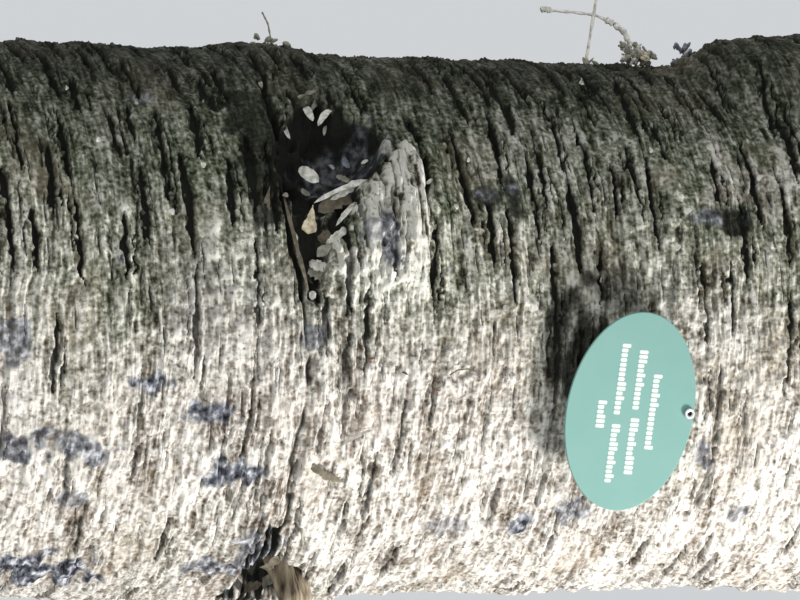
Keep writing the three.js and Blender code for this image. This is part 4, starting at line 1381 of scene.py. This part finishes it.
def side_paths(plan, samples):
    """The source's side shoots along a bough by turns to either hand, each with a shorter partner opposite.

    They start past the bough's bare part, turn out by the root's and then the tip's angle, and droop.
    """
    start = max(plan.bare, (float(taper_radius(plan.height)) + SIDE_CLEAR) / plan.reach)
    leafy = 1 - start
    count = math.floor(leafy * plan.reach / SIDE_SPACING + 0.5)
    number = np.arange(count)
    along = (number + SIDE_FIRST) / count
    share = start + leafy * along
    root = bough_line(plan, share)
    forward = unit(bough_line(plan, share + 1e-4) - bough_line(plan, share - 1e-4))
    bearing = np.degrees(np.arctan2(forward[:, 0], -forward[:, 1]))
    slope = SIDE_DROOP.follow * forward[:, 2] / np.hypot(forward[:, 0], forward[:, 1])
    ease = SIDE_DROOP.ease * plan.crown
    side = np.where((number + plan.seed) % 2 == 1, 1, -1)
    lifted = np.where((number + plan.seed) // 2 % 2 == 1, 1, -1)
    length = plan.reach * (SIDE_LENGTH.root - SIDE_LENGTH.fall * along)
    length = length * (SIDE_LENGTH.least + SIDE_LENGTH.spread * chance(plan.seed * 40 + number))
    paths = []
    for hand, scale, fan in ((side, 1.0, lifted), (-side, PAIR_LENGTH, -lifted)):
        run = (length * scale)[:, None]
        middle = root + heading(bearing + hand * SIDE_ANGLE.root) * run / 2
        tip = middle + heading(bearing + hand * SIDE_ANGLE.tip) * run / 2
        middle[:, 2] = root[:, 2] + run[:, 0] * (slope - SIDE_DROOP.middle + ease + fan * SIDE_FAN.middle)
        tip[:, 2] = root[:, 2] + run[:, 0] * (2 * slope - SIDE_DROOP.tip + 1.5 * ease + fan * SIDE_FAN.tip)
        paths.append(bent(root, middle, tip, samples))
    return np.concatenate(paths)


def twig_paths(parents, seed, samples):
    """Twigs on each side shoot, turned out to either hand in turn and bent a little up at their ends."""
    length = np.linalg.norm(np.diff(parents, axis=1), axis=-1).sum(axis=1)
    last = parents.shape[1] - 1
    paths = []
    for place, share in enumerate(TWIG.places):
        for hand in (1, -1):
            number = np.arange(len(parents)) + 100 * place + seed * 7 + (50 if hand > 0 else 0)
            at = share + TWIG.drift * (chance(number) - 0.5) + TWIG.stagger * hand
            at = np.clip(at, 0.05, 0.95) * last
            low = np.floor(at).astype(int)
            rest = (at - low)[:, None]
            rows = np.arange(len(parents))
            root = parents[rows, low] * (1 - rest) + parents[rows, low + 1] * rest
            forward = unit(parents[rows, low + 1] - parents[rows, low])
            bearing = np.degrees(np.arctan2(forward[:, 0], -forward[:, 1]))
            spread = hand * (TWIG.angle + TWIG.fan * (chance(number + 500) - 0.5))
            size = TWIG.least + TWIG.spread * chance(number + 900)
            run = (length * TWIG.length * (1 - TWIG.fall * share) * size)[:, None]
            way = heading(bearing + spread)
            climb = TWIG.climb * (1 if (place + (hand > 0)) % 2 else -1) * (0.5 + chance(number + 1300))
            way[:, 2] = TWIG.follow * forward[:, 2] + climb
            middle = root + way * run / 2
            ahead = heading(bearing + TWIG.ahead * spread)
            ahead[:, 2] = way[:, 2] + TWIG.lift
            tip = middle + ahead * run / 2
            paths.append(bent(root, middle, tip, samples))
    return np.concatenate(paths)


def top_paths(samples):
    """The leader above the trunk and the four short shoots round it."""
    foot = np.array([0, 0, TRUNK_TOP])
    leader = np.linspace(foot, np.array([0, 0, TREE_HEIGHT - LEADER_CLEAR]), samples)[None]
    number = np.arange(TOP_SHOOTS.count)
    level = np.zeros(TOP_SHOOTS.count)
    root = foot + np.stack([level, level, TOP_SHOOTS.foot + TOP_SHOOTS.step * number], axis=-1)
    way = heading(FIRST_BEARING + TOP_SHOOTS.turn + 360 / TOP_SHOOTS.count * number)
    middle = root + way * TOP_SHOOTS.out[0] + np.array([0, 0, TOP_SHOOTS.rise[0]])
    tip = middle + way * TOP_SHOOTS.out[1] + np.array([0, 0, TOP_SHOOTS.rise[1]])
    return leader, bent(root, middle, tip, samples)


def even_wood(ends, shoots, samples):
    """The same wood radii on every shoot, falling evenly from its root to its tip."""
    return np.broadcast_to(np.linspace(*ends, samples), (shoots, samples))


def shoot_groups():
    """Every leafy shoot: for each node its name and a list of (paths, wood radii, leaf scale)."""
    groups = []
    for plan in bough_plans():
        trunk_share = float(taper_radius(plan.height)) / plan.reach
        first = plan.bare if plan.bare else 0.5 * trunk_share
        share = np.linspace(first, 1, SAMPLES.main)
        bough = bough_line(plan, share)[None]
        wood = wood_radius(plan, share)[None] * np.linspace(1, 0.6, SAMPLES.main)
        sides = side_paths(plan, SAMPLES.side)
        twigs = twig_paths(sides, plan.seed, SAMPLES.twig)
        groups.append(Values(node="foliage_" + plan.name, shoots=[
            (bough, wood, LEAF_SCALE.main),
            (sides, even_wood(SIDE_WOOD, len(sides), SAMPLES.side), LEAF_SCALE.side),
            (twigs, even_wood(TWIG_WOOD, len(twigs), SAMPLES.twig), LEAF_SCALE.twig)]))
    leader, shoots = top_paths(SAMPLES.side)
    height = np.linspace(LEAFY_TRUNK.low, TRUNK_TOP, SAMPLES.trunk)
    axis = np.zeros(SAMPLES.trunk)
    trunk = np.stack([axis, axis, height], axis=-1)[None]
    girth = taper_radius(height)[None]
    groups.append(Values(node="foliage_top", shoots=[
        (leader, even_wood(LEADER_WOOD, 1, SAMPLES.side), LEAF_SCALE.main),
        (np.repeat(trunk, LEAFY_TRUNK.rounds, axis=0), np.repeat(girth, LEAFY_TRUNK.rounds, axis=0),
         LEAF_SCALE.trunk),
        (shoots, even_wood(SIDE_WOOD, len(shoots), SAMPLES.side), LEAF_SCALE.side)]))
    return groups


def leaves_on(paths, wood, scale, seed, crown):
    """Kite-shaped leaves in a golden spiral round each shoot, leaning forward and closing in at its tip.

    A leaf's way is along cos(lean) + out sin(lean), with out turning by the golden angle from leaf to leaf.
    Returns points, four to a leaf, and for each leaf the number of its shoot and how far along it sits.
    """
    lengths = np.linalg.norm(np.diff(paths, axis=1), axis=-1).sum(axis=1)
    counts = np.maximum(6, np.round(lengths * crown.leaves_per_metre / scale)).astype(int)
    shoot = np.repeat(np.arange(len(paths)), counts)
    number = np.arange(len(shoot)) - np.repeat(np.concatenate([[0], np.cumsum(counts)[:-1]]), counts)
    share = (number + 0.5) / counts[shoot]
    at = share * (paths.shape[1] - 1)
    low = np.minimum(np.floor(at).astype(int), paths.shape[1] - 2)
    rest = (at - low)[:, None]
    centre = paths[shoot, low] * (1 - rest) + paths[shoot, low + 1] * rest
    slopes = np.gradient(paths, axis=1)
    along = unit(slopes[shoot, low] * (1 - rest) + slopes[shoot, low + 1] * rest)
    girth = wood[shoot, low] * (1 - rest[:, 0]) + wood[shoot, low + 1] * rest[:, 0]
    side, other = cross_ways(along)
    spin = number * GOLDEN_TURN + shoot * 1.7 + seed
    out = side * np.cos(spin)[:, None] + other * np.sin(spin)[:, None]
    closing = 1 - LEAF_CLOSING.part * smooth((share - LEAF_CLOSING.start) / LEAF_CLOSING.span)
    lean = crown.leaf_lean * closing * (LEAF_SPREAD.least + LEAF_SPREAD.more * chance(number + seed))
    way = along * np.cos(lean)[:, None] + out * np.sin(lean)[:, None]
    keel = out * np.cos(lean)[:, None] - along * np.sin(lean)[:, None]
    wide = np.cross(out, along)
    size = scale * (1 - LEAF_SHRINKING.part * smooth((share - LEAF_SHRINKING.start) / LEAF_SHRINKING.span))
    size = size * (LEAF_SPREAD.least + LEAF_SPREAD.more * chance(number * 3 + seed))
    run = (crown.leaf_length * size)[:, None]
    base = centre + out * (girth - LEAF_SINK)[:, None]
    middle = base + way * run * LEAF_WIDEST
    half = wide * (crown.leaf_width / 2 * size)[:, None]
    middle = middle - keel * run * LEAF_KEEL
    points = np.stack([base, middle + half, middle - half, base + way * run], axis=1)
    return points, shoot, share


def leaf_palette(crown):
    """Six plain leaf colours, from old dark green over olive to the fresh green of the tips."""
    dark, fresh = Vector(crown.dark), Vector(crown.fresh)
    olive = Vector(linear("#4b4a26"))
    colours = [dark, dark * 0.8, dark.lerp(fresh, 0.25), dark.lerp(fresh, 0.5), dark.lerp(olive, 0.7), fresh]
    return [leaf_material(f"leaf, waxed {place}", colour) for place, colour in enumerate(colours, 1)]


def leaf_pieces(crown):
    """The leaves of every node, dealt into pieces under the limit, each standing for its own nodes.

    Each leaf takes one of the older colours by chance, and most leaves near a tip take the fresh one.
    """
    materials = leaf_palette(crown)
    batches = []
    for order, group in enumerate(shoot_groups()):
        points, picks = [], []
        for rank, (paths, wood, scale) in enumerate(group.shoots):
            leaf, shoot, share = leaves_on(paths, wood, scale, order * 3 + rank, crown)
            tone = chance(shoot * 5.0 + order * 31 + rank * 7)
            pick = np.digitize(tone, LEAF_TONES)
            tip = (share > FRESH_TIP.share) & (chance(shoot * 9.0 + order) < FRESH_TIP.odds)
            points.append(leaf)
            picks.append(np.where(tip, len(materials) - 1, pick))
        count = sum(len(part) for part in points)
        if count * len(LEAF_FACES) > PIECE_TRIANGLES:
            raise RuntimeError(f"{group.node} has too many leaves for one piece")
        if not batches or (batches[-1].leaves + count) * len(LEAF_FACES) > PIECE_TRIANGLES:
            batches.append(Values(points=[], picks=[], nodes=[], leaves=0))
        batches[-1].points += points
        batches[-1].picks += picks
        batches[-1].nodes.append(group.node)
        batches[-1].leaves += count
    for place, batch in enumerate(batches, 1):
        points = np.concatenate(batch.points)
        faces = LEAF_FACES + 4 * np.arange(len(points))[:, None, None]
        picks = np.repeat(np.concatenate(batch.picks), len(LEAF_FACES))
        piece = make_mesh(f"leaves_{place:02d}", points.reshape(-1, 3), [faces.reshape(-1, 3)],
                          None, materials, picks, flat=True)
        settle(piece, "foliage", *batch.nodes)


def bark_tube(paths, radii, sides, seed):
    """A limb with bark: a tube whose radius swells and sinks by rings and lumps of noise."""
    rings = paths.shape[1]
    turn = np.linspace(0, 1, sides, endpoint=False)
    along = np.linspace(0, rings * 0.55, rings)
    up, across = np.meshgrid(along, turn, indexing="ij")
    relief = 1 + 0.06 * ripple(across * 7, up, seed, 7) + 0.05 * ripple(across * 13, up * 2.1, seed + 1, 13)
    return tubes(paths, radii[..., None] * relief[None], sides)


class TREE_OT_trunk(Operator):
    """Make the trunk's bark with its slits, hollow, seam and scars."""

    bl_idname = "tree.trunk"
    bl_label = "Trunk"

    def execute(self, context):
        bark = context.scene.tree_bark
        material = bark_material(bark)
        for part in TRUNK_PIECES:
            bark_piece(part, bark, material)
        return {"FINISHED"}


class TREE_OT_stub(Operator):
    """Make the dead stub in the right-hand scar."""

    bl_idname = "tree.stub"
    bl_label = "Dead stub"

    def execute(self, context):
        # Dead wood washed by rain, which leaves streaks of its fibres 3 mm high and 9 to 22 mm long
        wood = wood_material("wood, weathered brown", "#3d3226", "#b8aa92", (45, 110, 300), 0.9)
        points, faces = stub_shape()
        settle(make_mesh("stub_wood", points, faces, None, [wood]), "dead_wood", "dead_stub")
        return {"FINISHED"}


class TREE_OT_label(Operator):
    """Make the oval label with its rows of blocks and its screw."""

    bl_idname = "tree.label"
    bl_label = "Label and screw"

    def execute(self, context):
        label = context.scene.tree_label
        face = plastic_material("laminate, matt green", label.green, 0.5, "#89b2ab")
        core = plastic_material("laminate, engraved core", label.core, 0.6, "#cfe0d8")
        points, faces = plate_shape(label)
        plate = make_mesh("label_face", points, faces, None, [face], flat=True)
        settle(plate, "label_plastic", "label_plate")
        points, faces = joined([row_shape(row, label) for row in ROWS])
        settle(make_mesh("label_rows", points, faces, None, [core], flat=True), "label_plastic")
        points, faces, recess = screw_shape(label)
        dark, _, shader = new_material("steel, recess in shade", 0.6, 0.3)
        shader.inputs["Base Color"].default_value = paint("#1c1f1f")
        screw = make_mesh("screw_head", points, faces, None, [steel_material(), dark], recess)
        settle(screw, "screw_steel", "label_screw")
        return {"FINISHED"}


class TREE_OT_litter(Operator):
    """Make the dead scales in the hollow, the flecks of cork, and the stems and tufts at the trunk's edge."""

    bl_idname = "tree.litter"
    bl_label = "Litter"

    def execute(self, context):
        # Dry scales bleached by the sun, with specks of 4 mm; the darker tone, a copy of the colour times
        # 0.72, lies in the specks' hollows as painted shade
        materials = [
            wood_material(f"litter, dry {place}", shaded(colour, 0.72), colour, (260, 260, 260), 0.85)
            for place, colour in enumerate(SCRAP_COLOURS, 1)]
        shapes = [(scrap_shape(scrap, place), scrap[-1]) for place, scrap in enumerate(SCRAPS)]
        shapes += [(fleck, 0) for fleck in fleck_shapes(context.scene.tree_bark)]
        shapes += [(stem_shape(pixels, thickness), colour) for pixels, thickness, colour in STEMS]
        shapes += [(tuft_shape(middle, size, count, place), colour)
                   for place, (middle, size, count, colour) in enumerate(TUFTS)]
        for colour, material in enumerate(materials):
            points, faces = joined([shape for shape, own in shapes if own == colour])
            settle(make_mesh(f"litter_{colour + 1}", points, faces, None, [material]), "dead_wood")
        return {"FINISHED"}


class TREE_OT_boughs(Operator):
    """Make the bare inner boughs, with a collar at the trunk that dies out by e^(-out / reach)."""

    bl_idname = "tree.boughs"
    bl_label = "Boughs"

    def execute(self, context):
        # Limb bark made of the dried feet of old leaves, which show as scales 11 mm wide and 6 mm high
        bark = wood_material("bark, limb scales", "#3b352b", "#7b7160", (90, 90, 160), 0.9)
        for plan in bough_plans():
            if not plan.bare:
                continue
            trunk = float(taper_radius(plan.height))
            share = np.linspace(0.5 * trunk / plan.reach, plan.bare, SAMPLES.limb)
            path = bough_line(plan, share)
            out = np.maximum(np.hypot(path[:, 0], path[:, 1]) - trunk, 0)
            radius = wood_radius(plan, share) * (1 + COLLAR.swell * np.exp(-out / COLLAR.reach))
            points, faces = bark_tube(path[None], radius[None], 20, plan.seed)
            limb = make_mesh("limb_" + plan.name, points, faces, None, [bark])
            settle(limb, "limb_bark", "bough_" + plan.name)
        return {"FINISHED"}


class TREE_OT_twigs(Operator):
    """Make the stems and twigs inside the foliage."""

    bl_idname = "tree.twigs"
    bl_label = "Twigs"

    def execute(self, context):
        # Young bark, still green between the feet of its leaves, in patches of 8 mm
        bark = wood_material("bark, young twig", "#34331f", "#6c6442", (120, 120, 120), 0.85)
        groups = shoot_groups()
        nodes = [group.node for group in groups]
        stems = [bark_tube(*group.shoots[0][:2], 8, place) for place, group in enumerate(groups)]
        fine = [tubes(paths, radii, 3) for group in groups for paths, radii, _ in group.shoots[1:]
                if radii.max() < STOUT_WOOD]
        for name, parts in (("stems", stems), ("twigs", fine)):
            points, faces = joined(parts)
            settle(make_mesh(name, points, faces, None, [bark]), "limb_bark", *nodes)
        return {"FINISHED"}


class TREE_OT_leaves(Operator):
    """Make the leaves along every shoot."""

    bl_idname = "tree.leaves"
    bl_label = "Leaves"

    def execute(self, context):
        leaf_pieces(context.scene.tree_crown)
        return {"FINISHED"}


def light_way(bearing, climb):
    """The way towards a light: level by its bearing times cos(climb), and up by sin(climb)."""
    rise = math.radians(climb)
    return Vector(heading(np.array(float(bearing)))) * math.cos(rise) + Vector((0, 0, math.sin(rise)))


def add_lamp(name, kind, way, **settings):
    """A light with its settings, turned so that it shines back along the way towards it."""
    light = bpy.data.lights.new(name, kind)
    for label, value in settings.items():
        setattr(light, label, value)
    lamp = bpy.data.objects.new(name, light)
    lamp.rotation_euler = way.to_track_quat("Z", "Y").to_euler()
    bpy.context.scene.collection.objects.link(lamp)
    return lamp


class TREE_OT_stage(Operator):
    """Make the pale floor, the soft lights and the camera at the photograph's angle."""

    bl_idname = "tree.stage"
    bl_label = "Stage"

    def execute(self, context):
        stage = context.scene.tree_stage
        turn = full_turn(FLOOR.sides)
        rim = np.stack([FLOOR.radius * np.cos(turn), FLOOR.radius * np.sin(turn),
                        np.full(FLOOR.sides, -FLOOR.drop)], axis=-1)
        material, _, shader = new_material("floor, pale matt", 0.9, 0.2)
        shader.inputs["Base Color"].default_value = opaque(stage.floor)
        floor = make_mesh("floor", rim, [np.arange(FLOOR.sides)[None]], None, [material], flat=True)

        world = bpy.data.worlds.new("sky")
        world.use_nodes = True
        sky = world.node_tree.nodes["Background"]
        sky.inputs["Color"].default_value = paint("#eef1f4")
        sky.inputs["Strength"].default_value = stage.sky_strength
        context.scene.world = world

        way = light_way(KEY.bearing, KEY.climb)
        key = add_lamp("key", "AREA", way, energy=stage.key_power, size=KEY.size,
                       spread=math.radians(KEY.spread), color=linear("#fffbf6"))
        key.location = Vector(KEY.aim) + way * KEY.distance
        key.visible_camera = False
        add_lamp("sun", "SUN", way, energy=stage.sun_strength, angle=math.radians(SUN_SPREAD))
        add_lamp("fill", "SUN", light_way(FILL.bearing, FILL.climb), energy=stage.fill_strength,
                 angle=math.radians(FILL.spread))

        lens = bpy.data.cameras.new("camera")
        lens.sensor_width = SENSOR_MM
        lens.lens = SENSOR_MM * FOCAL_PIXELS / PICTURE[0]
        lens.clip_start, lens.clip_end = CLIP
        camera = bpy.data.objects.new("camera", lens)
        turned = Matrix(np.stack([PICTURE_RIGHT, PICTURE_UP, -PICTURE_FORWARD], axis=-1).tolist())
        camera.matrix_world = Matrix.Translation(Vector(CAMERA_PLACE)) @ turned.to_4x4()
        context.scene.collection.objects.link(camera)
        context.scene.camera = camera
        context.scene.view_settings.view_transform = "Standard"
        return {"FINISHED"}


class TREE_PT_panel(Panel):
    """The tree's settings and operators in the sidebar."""

    bl_idname = "TREE_PT_panel"
    bl_label = "Monkey puzzle tree"
    bl_space_type = "VIEW_3D"
    bl_region_type = "UI"
    bl_category = "Tree"

    def draw(self, context):
        for group in SETTINGS:
            settings = getattr(context.scene, group)
            for label in settings.__annotations__:
                self.layout.prop(settings, label)
        for operator in OPERATORS:
            self.layout.operator(operator.bl_idname)


SETTINGS = {
    "tree_bark": BarkSettings,
    "tree_label": LabelSettings,
    "tree_crown": CrownSettings,
    "tree_stage": StageSettings,
}
OPERATORS = (TREE_OT_stage, TREE_OT_trunk, TREE_OT_stub, TREE_OT_label, TREE_OT_litter, TREE_OT_boughs,
             TREE_OT_twigs, TREE_OT_leaves)
CLASSES = (*SETTINGS.values(), *OPERATORS, TREE_PT_panel)


def register():
    """Make the classes known, and give the scene its groups of settings."""
    for cls in CLASSES:
        bpy.utils.register_class(cls)
    for label, group in SETTINGS.items():
        setattr(bpy.types.Scene, label, PointerProperty(type=group))


def unregister():
    """Take the settings and the classes away again."""
    for label in SETTINGS:
        delattr(bpy.types.Scene, label)
    for cls in reversed(CLASSES):
        bpy.utils.unregister_class(cls)


def main():
    """Make every piece by its operator."""
    register()
    bpy.ops.tree.stage()
    bpy.ops.tree.trunk()
    bpy.ops.tree.stub()
    bpy.ops.tree.label()
    bpy.ops.tree.litter()
    bpy.ops.tree.boughs()
    bpy.ops.tree.twigs()
    bpy.ops.tree.leaves()


if __name__ == "__main__":
    main()
